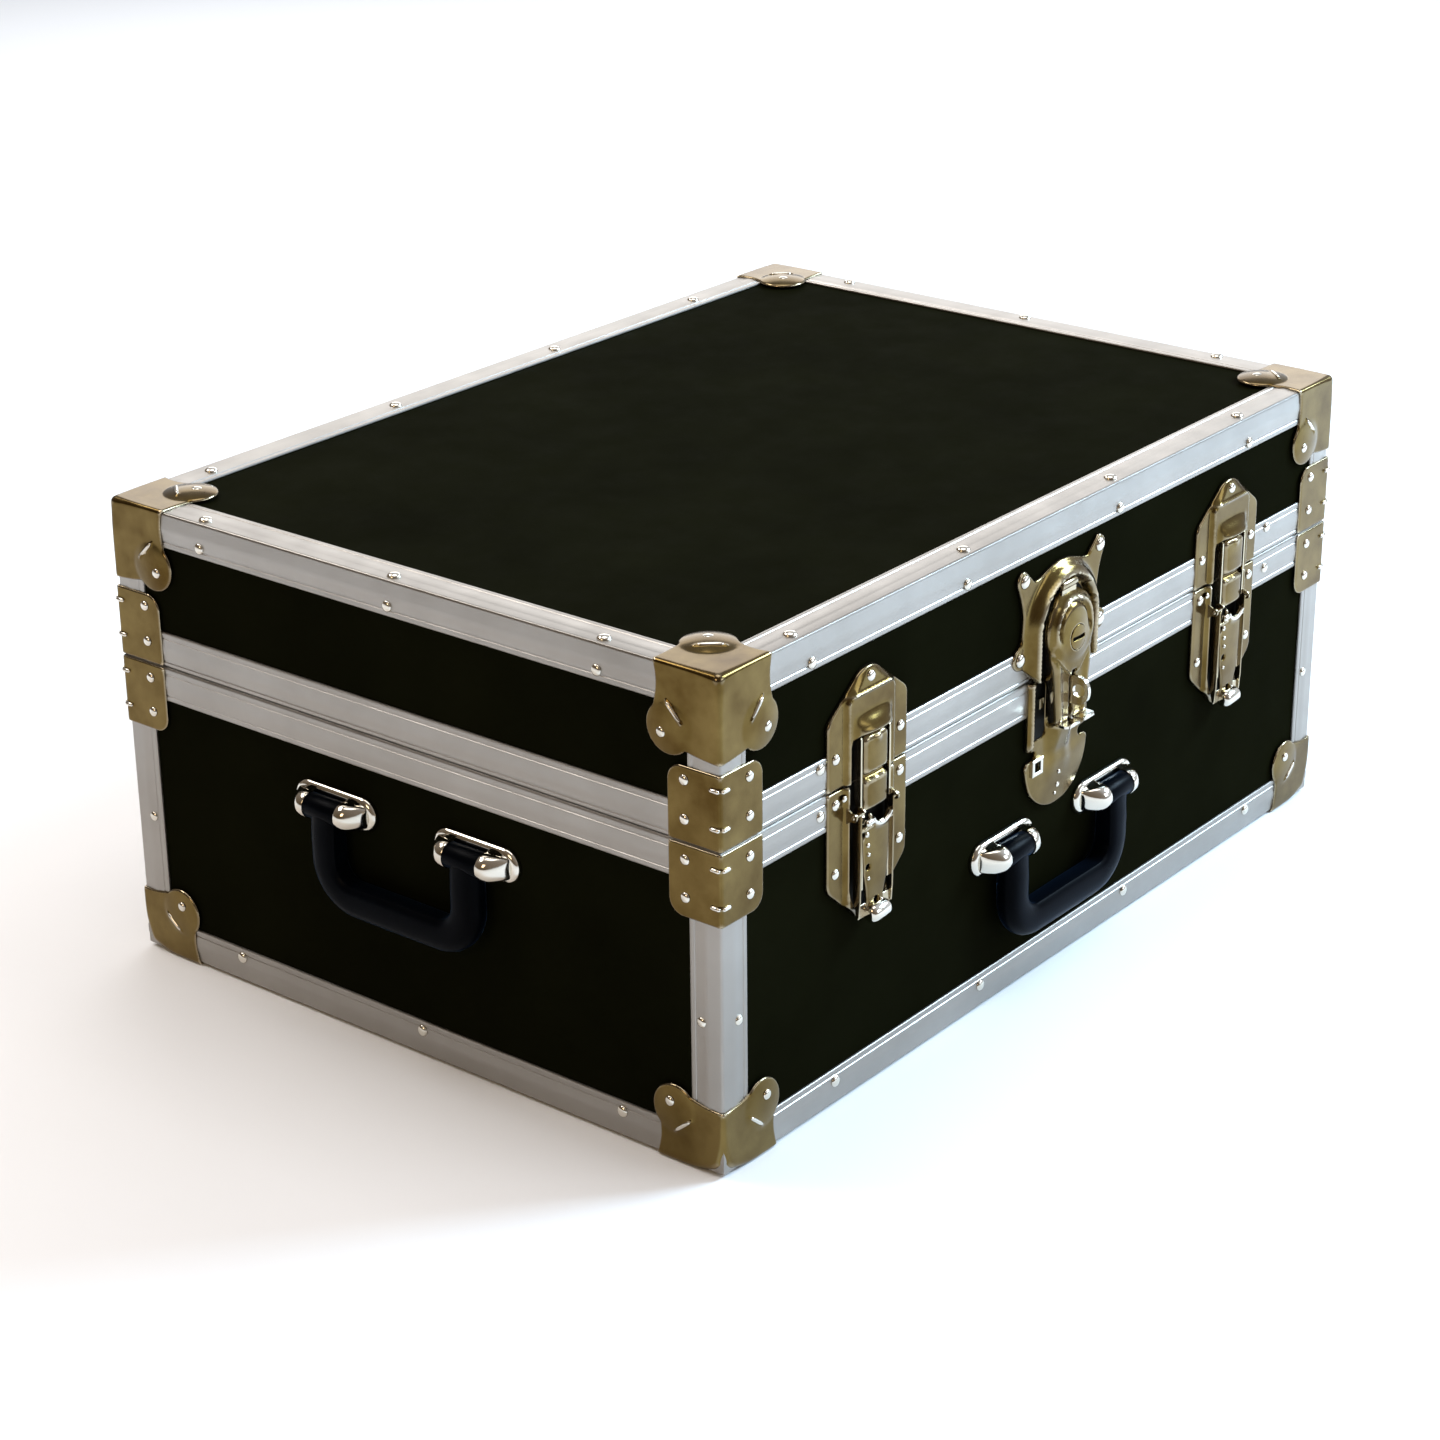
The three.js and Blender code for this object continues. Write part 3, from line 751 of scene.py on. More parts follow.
def corner_hardware(rivets_lid, rivets_base):
    lid_lobe, lid_flat = (38.0, 41.0, 17.0), (38.0, 38.0, 18.0)
    line_up = [(39.0, 24.0), (27.5, 36.0)]
    line_flat = [(37.5, 24.5), (25.5, 38.5)]
    upright = (lobed_edge(50, 56, lid_lobe), cap_height(lid_lobe, line_up, 1.9), [line_up])
    flat = (lobed_edge(50, 50, lid_flat), cap_height(lid_flat, line_flat, 3.0), [line_flat])
    lid_faces = {"front": upright, "side": upright, "flat": flat}
    base_lobe, base_flat = (38.0, 36.0, 17.0), (38.0, 38.0, 18.0)
    base_line = [(37.0, 22.0), (25.0, 32.5)]
    upright = (lobed_edge(53, 45, base_lobe), cap_height(base_lobe, base_line, 1.4), [base_line])
    flat = (lobed_edge(53, 53, base_flat), lambda p, q: np.zeros_like(p), [])
    base_faces = {"front": upright, "side": upright, "flat": flat}
    lid_beads, base_beads = (15.0, 39.5), (10.5, 35.0)
    clamp_lid, clamp_base = clamp_faces(49, lid_beads), clamp_faces(48, base_beads)
    seam_low, seam_high = SEAM - HALF_GAP, SEAM + HALF_GAP
    sheets = {
        "lid_corner_cap": (corner_sheet(lid_faces, 2.6, 4.2), HEIGHT, -1, "lid"),
        "base_corner_cap": (corner_sheet(base_faces, 2.6, 12.0), 0.0, 1, "base"),
        "lid_edge_clamp": (corner_sheet(clamp_lid, 2.0, 2.0), seam_high, 1, "lid"),
        "base_edge_clamp": (corner_sheet(clamp_base, 2.0, 2.0), seam_low, -1, "base"),
    }
    # Painted highlight: bright nickel lines along the pressed beads of the caps and clamps.
    highlight_crest_lines = (
        ([[(38.5, 24.6), (28.0, 35.4)]], HEIGHT, -1, "lid"),
        ([[(36.5, 22.6), (25.5, 32.0)]], 0.0, 1, "base"),
        ([[(0.5, at), (7.5, at)] for at in lid_beads], seam_high, 1, "lid"),
        ([[(0.5, at), (7.5, at)] for at in base_beads], seam_low, -1, "base"),
    )
    for (sx, sy), name in CORNERS.items():
        for kind, (part, z, sz, body) in sheets.items():
            matrix = corner_matrix(sx, sy, z, sz)
            node = f"{kind}_{name}"
            shelled(build(f"look_{node}", part, PLATED, body, matrix, (node,), sharp=50))
        highlight_crests = {"lid": [], "base": []}
        for lines, z, sz, body in highlight_crest_lines:
            matrix = corner_matrix(sx, sy, z, sz)
            for (a0, b0), (a1, b1) in lines:
                highlight_crests[body].append(placed(crest((a0, -0.7, b0), (a1, -0.7, b1), 1.35), matrix))
                highlight_crests[body].append(placed(crest((-0.7, a0, b0), (-0.7, a1, b1), 1.35), matrix))
        # Painted highlight: a bright nickel line along the bead on the lid cap's top face.
        flat_highlight_line = ((36.6, 25.6, -2.1), (26.4, 37.4, -2.1), 1.4)
        highlight_crests["lid"].append(placed(crest(*flat_highlight_line), corner_matrix(sx, sy, HEIGHT, -1)))
        for body, parts in highlight_crests.items():
            outward(build(f"{body}_crests_{name}", merged(*parts), NICKEL, body, sharp=60))
        rivets_lid += corner_rivets([(42.5, 44.0)], sx, sy, HEIGHT, -1, 1.2, [(40.5, 40.5)])
        rivets_lid += corner_rivets([(27.0, 15.5), (27.0, 40.5)], sx, sy, SEAM, 1)
        rivets_base += corner_rivets([(40.5, 41.7)], sx, sy, 0.0, 1, 1.2)
        rivets_base += corner_rivets([(27.0, 10.5), (27.0, 35.0)], sx, sy, SEAM, -1)
        rivets_base += corner_rivets([(17.0, 102.0)], sx, sy, 0.0, 1, -TRIM_FACE)


# ---- Trim rivets ----
def trim_rivets(rivets_lid, rivets_base):
    for u, along in ((-267, -277), (-107, -100), (70, 70), (238, 234)):
        for face in ("front", "back"):
            rivets_lid.append(rivet(face, u, 307.5, HY - TRIM_FACE, 0.85))
            rivets_base.append(rivet(face, u + 25, 17, HY - TRIM_FACE, 0.9))
        rivets_lid.append(top_rivet(along, -(HY - 10), HEIGHT - TRIM_FACE))
        rivets_lid.append(top_rivet(along, HY - 14, HEIGHT - TRIM_FACE))
    for v in (-162, 6, 172):
        for side, sign in (("left", -1), ("right", 1)):
            rivets_lid.append(rivet(side, v * sign, 309, HX - TRIM_FACE, 0.85))
            rivets_lid.append(top_rivet(sign * (HX - 9), v, HEIGHT - TRIM_FACE))
            rivets_base.append(rivet(side, (v - 12) * sign, 19, HX - TRIM_FACE, 0.9))
    for u in (-258.5, 270):
        for face in ("front", "back"):
            rivets_lid.append(rivet(face, u, 236, HY - TRIM_FACE, 0.85))
            rivets_base.append(rivet(face, u, 205, HY - TRIM_FACE, 0.85))


# ---- Pressed hardware helpers ----
def free_edges(faces):
    edges = dict.fromkeys((a, b) for f in faces for a, b in zip(f, f[1:] + f[:1]))
    return [(a, b) for a, b in edges if (b, a) not in edges]


def skirted(part, depth):
    """Adds a wall from the free edge of a sheet straight down to a depth."""
    verts, faces = part
    verts = [tuple(v) for v in verts]
    free = free_edges(faces)
    low = {}
    for a, b in free:
        for i in (a, b):
            if i not in low:
                low[i] = len(verts)
                verts.append((verts[i][0], verts[i][1], min(depth, verts[i][2] - 0.05)))
    walls = [(b, a, low[a], low[b]) for a, b in free]
    return verts, list(faces) + walls


def band(a, b, n):
    """The quads between two closed loops of n vertices that start at indices a and b."""
    return [(a + i, a + (i + 1) % n, b + (i + 1) % n, b + i) for i in range(n)]


def loft(loops):
    """Joins closed loops of the same length into one body with both ends closed."""
    n = len(loops[0])
    verts = [p for loop in loops for p in loop]
    faces = [tuple(reversed(range(n)))]
    for k in range(len(loops) - 1):
        faces += band(k * n, (k + 1) * n, n)
    faces.append(tuple(range((len(loops) - 1) * n, len(loops) * n)))
    return verts, faces


def outward(piece):
    """Turns every face of a closed body outward."""
    edit(piece.data, lambda bm: bmesh.ops.recalc_face_normals(bm, faces=bm.faces))
    return piece


def maker(prefix, at):
    """A builder of the pieces in one place: a shell, or a solid where thick is 0."""

    def make(label, part, finish, body, replaces=(), sharp=40, thick=0.5):
        piece = build(prefix + label, part, finish, body, at, replaces, sharp)
        return shelled(piece, thick) if thick else outward(piece)

    return make


def barred(make, label, part, body):
    """Plated bars and rods with bevelled edges."""
    bevelled(make(label, part, PLATED, body, sharp=30, thick=0))


def mirrored(points):
    """Adds the mirror image of a line that runs from the right of the centre to its middle."""
    return points + [(-x, y) for x, y in reversed(points)]


def plate_wall(x, half, slope):
    return 1 - smooth(np.abs(x), half - slope / 2, half + slope / 2)


def smooth_union(fields, k):
    total = sum(np.exp(-np.clip(f, -60, 200) / k) for f in fields)
    return -k * np.log(np.maximum(total, 1e-60))


def contour(field, centre, count=260, reach=80.0):
    """The outermost zero of a distance field along rays from a centre."""
    out = []
    r = np.linspace(reach, 1.0, 1600)
    for a in np.linspace(0, 2 * math.pi, count, endpoint=False):
        x, y = centre[0] + r * math.cos(a), centre[1] + r * math.sin(a)
        k = int(np.argmax(field(x, y) < 0))
        out.append((float(x[k]), float(y[k])))
    return out


def capsule(x, y, a, b, r):
    dx, dy = b[0] - a[0], b[1] - a[1]
    t = np.clip(((x - a[0]) * dx + (y - a[1]) * dy) / (dx**2 + dy**2), 0, 1)
    return np.hypot(x - a[0] - t * dx, y - a[1] - t * dy) - r


def round_box(x, y, cx, cy, hx, hy, r):
    qx, qy = np.abs(x - cx) - hx + r, np.abs(y - cy) - hy + r
    return np.hypot(np.maximum(qx, 0), np.maximum(qy, 0)) + np.minimum(np.maximum(qx, qy), 0) - r


def rect_loop(x, y, r=1.5):
    """A rectangle with round corners."""
    corners = ((x[1], y[0], -90), (x[1], y[1], 0), (x[0], y[1], 90), (x[0], y[0], 180))
    out = []
    for cx, cy, start in corners:
        ox = cx - r if cx == x[1] else cx + r
        oy = cy - r if cy == y[1] else cy + r
        out += arc(ox, oy, r, start, start + 90, 6)
    return out


# ---- Draw-bolt latches ----
PAN = 3.2
LEVER_PIVOT = (-19.0, 7.5)
SCOOP = (4.6, -21.0)
LEVER_STUDS = [(-10.5, -34.9, 1.9), (-9.4, -42.5, 1.5), (-8.8, -49.0, 1.3)]
LEVER_STUDS += [(-8.8, -65.0, 1.3), (4.8, -84.0, 1.2)]
BOLT_PIVOT = (-31.0, 7.5)


def catch_height(u, v):
    lean = np.clip((v - 57.5) / 13, 0, 1)
    from_slope = (40.5 - np.abs(u)) * 0.628 + (44 - v) * 0.778
    pan = PAN * plate_wall(u, 24, 3.2) * smooth(from_slope, -0.5, 4.0) * (1 - 0.85 * lean)
    fold = 0.9 * bell(v - 57.5, 1.0) * plate_wall(u, 24.5, 3)
    rise = smooth(46 - v, 0, 11)
    hood = 5.2 * rise * np.clip(1 - (u / 18.5) ** 2, 0, None) ** 0.5
    lip = 1.5 * bell(v - 33.6, 1.4) * np.clip(1 - (u / 16.5) ** 2, 0, None) ** 0.5
    return pan + fold + hood + lip


def plate_height(u, v):
    return PAN * plate_wall(u, 24, 3.2) * smooth(v, -93, -80)


def bolt_height(u, v):
    barrel = 6.4 + 1.1 * np.clip(1 - (u / 13) ** 2, 0, None)
    barrel -= 3.4 * np.exp(-(np.abs((v - 3.0) / 2.3) ** 4))
    barrel -= 2.6 * smooth(v, 25, 31.5) ** 2
    return barrel + 1.2 * np.exp(-(((u - 1) / 2.2) ** 2) - ((v - 27) / 2.4) ** 2)


def blade_height(u, v):
    edge = np.clip(np.abs(u) / 14, 0, 1)
    lip = 1.5 * bell(np.hypot(u - 5, v + 20) - 13.0, 1.7) * smooth(v, -36, -31)
    return 7.2 - 0.7 * edge**3 + lip * (u > -4) - 0.6 * smooth(-v, 70, 82)


def latch_cheek(outline, u):
    return sideways(prism(outline, *sorted(u)))


def latch(side, x):
    name = f"latch_{side}"
    at = face_matrix("front", x, SEAM, PLATE_OUT)
    make = maker(f"look_{name}_", at)
    right = trace((18.5, 0.6), (40.5, 0.6), (40.5, 40.5), (40.5, 45.5, 36, 48.6, 8))
    right += trace((13.5, 66), (8, 71.5, 0, 71.5, 8))
    mouth = trace((-20.5, 0.6), (-20.5, 25), (-19.5, 31.5, -12, 31.8, 8))
    mouth += trace((11, 31.8), (17.5, 31.5, 18.5, 25, 8))
    creases = [[(-24, 57.5), (24, 57.5)], [(-24, 3), (-24, 57)], [(24, 3), (24, 57)]]
    outline = right + left_of(right) + mouth
    part = pressed(outline, catch_height, lines=creases, line_width=2.2)
    make("catch", skirted(part, -1.5), PLATED, "lid", (f"{name}_catch",))

    right = trace((18.5, -0.6), (40.5, -0.6), (40.5, -61), (40.5, -65.5, 37, -68.8, 8))
    right += trace((20, -84), (12, -91.5), (6.5, -96.5, 0, -96.5, 8))
    well = trace((-22, -0.6), (-22, -70), (-20, -80, -11, -88, 8))
    well += trace((10, -88), (17, -80, 18.5, -70, 8))
    creases = [[(-24, -3), (-24, -86)], [(24, -3), (24, -86)]]
    outline = right + left_of(right) + well
    part = pressed(outline, plate_height, lines=creases, line_width=2.2)
    make("plate", skirted(part, -1.5), PLATED, "base", (f"{name}_plate",))

    pivot_v, pivot_w = LEVER_PIVOT
    lug = [(pivot_v - 6, 1.5)] + arc(pivot_v, pivot_w, 2.9, 200, -20, 16) + [(pivot_v + 6, 1.5)]
    lugs = merged(*[latch_cheek(lug, u) for u in ((-24.2, -22.8), (19.2, 20.6))])
    barred(make, "lugs", lugs, "base")
    # Painted shade: dark sheets under the catch opening and the bolt and lever well, standing in for
    # the shade deep in those channels.
    shade_bed = [(23, -0.8), (-25, -0.8), (-25, -76), (-13, -89), (12, -89), (23, -76)]
    shade_sheets = {
        "catch_well": ("lid", box_part((-25, 23), (0.8, 34), (0.4, 0.9))),
        "plate_well": ("base", prism(shade_bed, 0.4, 0.9)),
    }
    for label, (body, shade_sheet) in shade_sheets.items():
        bevelled(make(label, shade_sheet, PAINTED_SHADE, body, thick=0), 0.15)

    # The bolt: a barrel with one waist and a cheek each side.
    head = mirrored(trace((12, -19.5), (12, 25), (12, 31, 6, 31, 8)))
    part = pressed(head, bolt_height, roll=2.6, lines=[[(-12, 3), (12, 3)]], line_width=3)
    cheeks = trace((-17, 3.0), (-17, 6.9), (29, 6.9), (30.6, 6.6, 30.6, 4, 5), (30.6, 1.8), (-12, 1.8))
    sides = [latch_cheek(cheeks, u) for u in ((-15.4, -13.9), (13.9, 15.4))]
    link = rod_part(1.8, -13.6, -9.4, *BOLT_PIVOT)
    stem = box_part((-13.0, -10.0), (BOLT_PIVOT[0] + 1.4, -16), (4.5, 6.1))
    body = f"{name}_bolt"
    make("bolt", skirted(part, 2.4), PLATED, body, (body,))
    barred(make, "bolt_frame", merged(*sides, link, stem), body)

    # The lever: a blade with a scooped top edge, its cheeks, its pin and the thumb roll.
    body = f"{name}_lever"
    scoop = arc(*SCOOP, 9.6, -172, -20, 22)
    edge = [(13.6, -40), (12.2, -62), (8.6, -80), (8.6, -88)]
    blade = trace((13.6, -24.3), *mirrored(edge), (-13.6, -37), (-8.5, -34, -7.0, -22.2, 6))
    eyes = [arc(0.5, -82.5, 2.0, 0, 348, 16), arc(-8.6, -57.5, 1.9, 0, 348, 14)]
    part = pressed(blade + scoop, blade_height, roll=1.2, holes=eyes, step=1.3)
    make("lever", skirted(part, 5.6), PLATED, body, (body,))
    strip = arc(pivot_v, pivot_w, 4.9, -110, 60, 14) + [(pivot_v + 1, 8.9), (-40, 9.0)]
    strip += [(-78, 8.6), (-89.5, 7.8), (-89.5, 5.6), (-74, 3.0), (-24, 2.2)]
    cheeks = [latch_cheek(strip, u) for u in ((-17.6, -16.2), (15.8, 17.2))]
    pins = [rod_part(1.5, *span, pivot_v, pivot_w) for span in ((-24.8, -16.4), (16.0, 21.2))]
    pins.append(rod_part(1.4, -16.4, 16.0, *BOLT_PIVOT))
    bars = [((-16.8, -12.6), (-72, -40), (5.8, 7.0)), ((12.6, 16.4), (-72, -26), (5.8, 7.0))]
    bars += [((-16.8, -7), (-91, -82), (5.4, 6.8)), ((7, 16.4), (-91, -82), (5.4, 6.8))]
    lever_frame = merged(*cheeks, *pins, *[box_part(*bar) for bar in bars])
    barred(make, "lever_frame", lever_frame, body)
    toggle = [rod_part(2.2, -12.4, -4.6, -27.0, 8.7, round_end=1.4)]
    toggle.append(rod_part(5.9, -9.6, 9.6, -89.6, 9.4, 28, 3.4))
    for x0, y0, r in LEVER_STUDS:
        stud = lathe([(0, 0), (r, 0), (r, 0.8), (0.75 * r, 1.5), (0, 1.8)], 14)
        toggle.append(placed(stud, Matrix.Translation((x0, y0, 7.7))))
    rings = []
    for x0, y0 in arc(*SCOOP, 10.6, -158, -32, 24):
        away = Vector((x0 - SCOOP[0], y0 - SCOOP[1], 0)).normalized()
        rings.append(circle(Vector((x0, y0, 8.7)), away, Vector((0, 0, 1)), 1.5, 12))
    toggle.append(loft(rings))
    make("toggle", merged(*toggle), NICKEL, body, sharp=50, thick=0)
    spots = [(u, v, 0, 0.8) for u in (-33, 33) for v in (21, -9, -55)]
    for u, v, rise, scale in (*spots, (0, 65, 1.3, 0.85), (-26, -7, 1.5, 0.5)):
        row = rivets_lid if v > 0 else rivets_base
        row.append(rivet("front", x + u, SEAM + v, PLATE_OUT + CAP + rise, scale))


# ---- Centre lock ----
def lid_plate_field(x, y):
    arch = np.hypot(x, y - 33) - 42.5
    body = round_box(x, y, 0, 37, 40.5, 31, 12)
    foot = round_box(x, y, 0, 14, 34.0, 14, 8)
    ears = [capsule(x, y, (36 * s, 56), (44 * s, 73), 6.9) for s in (-1, 1)]
    ears += [capsule(x, y, (36 * s, 22), (47 * s, 20), 7.2) for s in (-1, 1)]
    return np.maximum(smooth_union([arch, body, foot, *ears], 3.0), 0.6 - y)


def lid_plate_height(u, v):
    rho = np.where(v > 33, np.hypot(u, v - 33), np.abs(u))
    outer = 1 - smooth(rho, 33.0, 43.0)
    inner = smooth(rho, 29.2, 33.2)
    crest = 0.9 * bell(rho - 38.2, 1.3) * smooth(v, 30, 55)
    return 7.6 * np.minimum(outer, 1) * inner + crest


def hasp_height(u, v):
    d = np.hypot(u, v - 31)
    upper = smooth(v, 22, 34)
    head = 8.2 + 2.4 * smooth(26 - d, 0, 6)
    head += 1.3 * bell(d - 20.6, 1.5) * upper
    head -= 1.7 * bell(d - 17.2, 1.3) * upper
    head += 1.5 * np.sqrt(np.clip(1 - (d / 15.6) ** 2, 0, 1)) * upper
    half = 22.5 - (12 - v) * 5.5 / 45
    roll = 1.5 * np.exp(-((((np.abs(u) / half) - 0.8) / 0.16) ** 2))
    arm = 10.2 + roll
    blend = smooth(v, 4, 22)
    wide = np.clip(5 + (v + 2) * 0.95, 4, 24)
    tongue = 1.7 * (1 - smooth(np.abs(u), wide - 1.6, wide + 0.6)) * smooth(v, -3.5, 0.5)
    bulge = 2.7 * bell(u, 11) * bell(v - 24, 13)
    return head * blend + arm * (1 - blend) + tongue * (1 - upper) + bulge - 4.6 * smooth(v, 48.5, 57)


def shield_height(u, v):
    left = 3.4 * bell(u + 33.2, 2.2) * smooth(v, -50, -44)
    ridge = (1 - smooth(np.abs(u), 5.0, 17.0)) * (6.8 - 5.6 * smooth(-v, 36, 66))
    ridge *= smooth(-v, 34.6, 37.5) * smooth(v, -82, -60)
    belly = 1.6 * np.clip(1 - np.hypot(u, v + 62) ** 2 / 34**2, 0, 1) * smooth(-v, 56, 66)
    return left + ridge + belly


def square_frame(cx, cy, outer, inner, low, high):
    e = 0.5
    sizes = [(outer, low), (outer, high - e), (outer - e, high)]
    sizes += [(inner + e, high), (inner, high - e), (inner, low)]
    square = ((-1, -1), (1, -1), (1, 1), (-1, 1))
    verts = [(cx + sx * size, cy + sy * size, w) for size, w in sizes for sx, sy in square]
    faces = []
    for k in range(6):
        faces += band(4 * k, 4 * ((k + 1) % 6), 4)
    return verts, faces


LEVEL = 0.85  # how level the face of the key cylinder is


def lock():
    make = maker("look_", face_matrix("front", 0.0, SEAM, PLATE_OUT))
    outline = contour(lid_plate_field, (0, 34))
    part = pressed(outline, lid_plate_height, step=1.7)
    make("lock_lid_plate", skirted(part, -1.5), PLATED, "lid", ("lock_lid_plate",))
    # Painted shade: a dark sheet inside the horseshoe, standing in for the shaded gap between the arch
    # and the head.
    well = [(28.0, 0.9)] + arc(0, 33, 28.0, 0, 180, 30) + [(-28.0, 0.9)]
    bevelled(make("lock_lid_well", prism(well, 1.5, 2.0), PAINTED_SHADE, "lid", thick=0), 0.15)
    for u, v in ((-44, 73), (44, 73), (-47, 20), (47, 20)):
        rivets_lid.append(rivet("front", u, SEAM + v, PLATE_OUT + CAP, 1.05))

    head = arc(0, 31, 26, -24, 90, 26)
    side = [(2.4, 1.5), (2.4, -32.4), (16.6, -32.4), (20.8, 2)]
    outline = tidy_loop(mirrored(side + head))
    eye = arc(0, 25, 8.9, 0, 352, 30)
    creases = [[(4, -2), (22, 15)], [(-4, -2), (-22, 15)]]
    shape = {"step": 1.3, "roll": 1.9, "hole_roll": 0.5, "holes": [eye], "lines": creases}
    part = pressed(outline, hasp_height, **shape)
    make("lock_hasp", skirted(part, 4.0), PLATED, "hasp", ("lock_hasp",))
    lips = []
    right = trace((2.4, 10.6), (17.2, 10.6), (17.2, 16.5), (17.0, 19.2, 14, 19.4, 6), (2.4, 19.4))
    left = [(-a, b) for a, b in reversed(right)]
    for loop, ends in ((left[-1:] + left[:-1], (-14.6, -2.6)), (right, (2.6, 14.6))):
        verts, faces = prism(loop, 32.0, 33.8)
        lips.append(([(x, -z, y) for x, y, z in verts], faces))
        lips.append(rod_part(1.35, *ends, -32.9, 19.2, 16, 0.9))
    bevelled(make("hasp_lip", merged(*lips), NICKEL, "hasp", sharp=30, thick=0), 0.5)
    knuckle = merged(rod_part(3.2, -8.4, 8.4, 60, 5), box_part((-8.2, 8.2), (52, 60), (4.2, 6.8)))
    bevelled(make("hasp_knuckle", knuckle, PLATED, "hasp", sharp=30, thick=0), 0.5)

    key = rect_loop((-7.0, 7.0), (23.7, 26.3), 1.2)
    disc = arc(0, 25, 8.6, 0, 352, 40)

    def plug(u, v):
        """Nearly level, with a low crown, and a little of the slope of the head around it."""
        crown = 0.7 * np.clip(1 - np.hypot(u, v - 25) ** 2 / 72, 0, 1)
        return hasp_height(u, v) * (1 - LEVEL) + LEVEL * 13.9 + crown

    part = pressed(disc, plug, step=1.0, roll=0.4, holes=[key])
    make("lock_cylinder", skirted(part, 12.0), BRASS_PIN, "key_cylinder", ("lock_cylinder",))
    # Painted shade: a dark disc deep under the keyway.
    slot = lathe([(0, 12.2), (8.1, 12.2), (8.1, 12.9), (7.6, 13.2), (0, 13.2)], 30)
    make("key_slot", placed(slot, Matrix.Translation((0, 25, 0))), KEY_HOLE_SHADE, "key_cylinder", thick=0)

    half = trace((36, -0.6), (36, -46), (35.6, -50, 31, -50.5, 6), (27, -51))
    half = trace(*half, (24.5, -53.5, 27, -56.5, 6), (33, -57), (37, -57.5, 37, -62, 6))
    half += arc(0, -60.5, 36.6, -2, -90, 26)
    outline = tidy_loop(mirrored(half))
    window = rect_loop((-30.8, -15.0), (-43, -4.5), 4)
    frame_hole = rect_loop((-28.6, -21.4), (-65.6, -58.4), 0.6)
    part = pressed(outline, shield_height, step=1.6, holes=[window, frame_hole])
    make("lock_base_plate", skirted(part, -1.5), PLATED, "base", ("lock_base_plate",))
    # Painted shade: dark beds behind the window and the square hole, standing in for the shade within
    # them.
    shade_beds = (((-33, -12), (-46, -1.5), (-0.2, 0.3)), ((-30, -20), (-67, -57), (-1.2, -0.4)))
    well = merged(*[box_part(*shade_bed) for shade_bed in shade_beds])
    bevelled(make("lock_base_well", well, PAINTED_SHADE, "base", thick=0), 0.15)
    bits = [square_frame(-25, -62, 6.0, 3.6, 1.0, 3.4)]
    bits.append(box_part((-26, -20), (-20.5, -13.5), (0.2, 3.2)))
    dots = ((0.5, -74, 1.5), (0.5, -83.5, 1.9), (-2, -89, 1.2), (15, -41, 1.8), (24, -7, 2.4))
    for x, y, r in dots:
        dot = lathe([(0, 0), (r, 0), (0.95 * r, 0.5), (0.6 * r, 1.0), (0, 1.3)], 16)
        level = CAP + float(shield_height(np.array(x), np.array(y)))
        bits.append(placed(dot, Matrix.Translation((x, y, level))))
    make("lock_bits", merged(*bits), NICKEL, "base", sharp=30, thick=0)

    fin = trace((-22, 1.2), (-2, 1.2), (-2, 15.5), (-2.4, 24.6, -12, 24.9, 10))
    fin = trace(*fin, (-21.6, 24.6, -22, 15.5, 10))
    hole = arc(-12, 17.4, 4.6, 0, 350, 26)
    flat, tris = triangulate([resample(fin, 1.6), resample(hole, 1.2)], [])
    n = len(flat)
    verts = [(-1.5, a, b) for a, b in flat] + [(1.5, a, b) for a, b in flat]
    faces = flipped(tris) + [tuple(i + n for i in t) for t in tris]
    faces += [(a, b, b + n, a + n) for a, b in free_edges(tris)]
    foot = prism(rect_loop((-6.8, 6.8), (-24.6, -1.2), 2.5), 1.3, 2.8)
    staple = merged((verts, faces), foot)
    bevelled(make("lock_staple", staple, NICKEL, "base", ("lock_staple",), 35, 0), 0.55, 3)


# ---- Drop handles ----
GRIP_SECTION = [(-9.6, -3.6), (-9.6, 3.6), (-9.2, 5.4), (-7.6, 7.0), (-4.6, 7.9), (-0.5, 8.2)]
GRIP_SECTION += [(3.6, 7.9), (6.9, 6.7), (9.2, 4.6), (10.3, 1.8), (10.3, -1.8), (9.2, -4.6)]
GRIP_SECTION += [(6.9, -6.7), (3.6, -7.9), (-0.5, -8.2), (-4.6, -7.9), (-7.6, -7.0), (-9.2, -5.4)]


def ear_cup(u0, side):
    """A rounded ear that covers one end of the barrel. It opens towards the middle of the
    bracket and slopes down to the end of the plate."""

    def loop(inset, u, f=1.0):
        line = [(-10.6 + inset, 0.9), (-10.4 + inset, 3.0)]
        line += arc(0, HANDLE_PIN, 9.1 - inset, 197, -17, 26)
        line += [(10.4 - inset, 3.0), (10.6 - inset, 0.9)]
        wide = 0.62 + 0.38 * f
        return [(u0 + side * u, a * wide, 0.9 + (b - 0.9) * f) for a, b in line]

    slope = [(30.2, 0.12), (29.9, 0.24), (28.9, 0.4), (27.2, 0.57), (25.2, 0.72)]
    slope += [(23.1, 0.85), (21.0, 0.94), (18.8, 0.99)]
    outer = [loop(0, u, f) for u, f in slope] + [loop(0, 17.0), loop(0, 14.2), loop(0.15, 13.9)]
    inner = [loop(0.75, 13.9), loop(0.8, 14.2), loop(0.8, 17.0)]
    return loft(outer + inner)


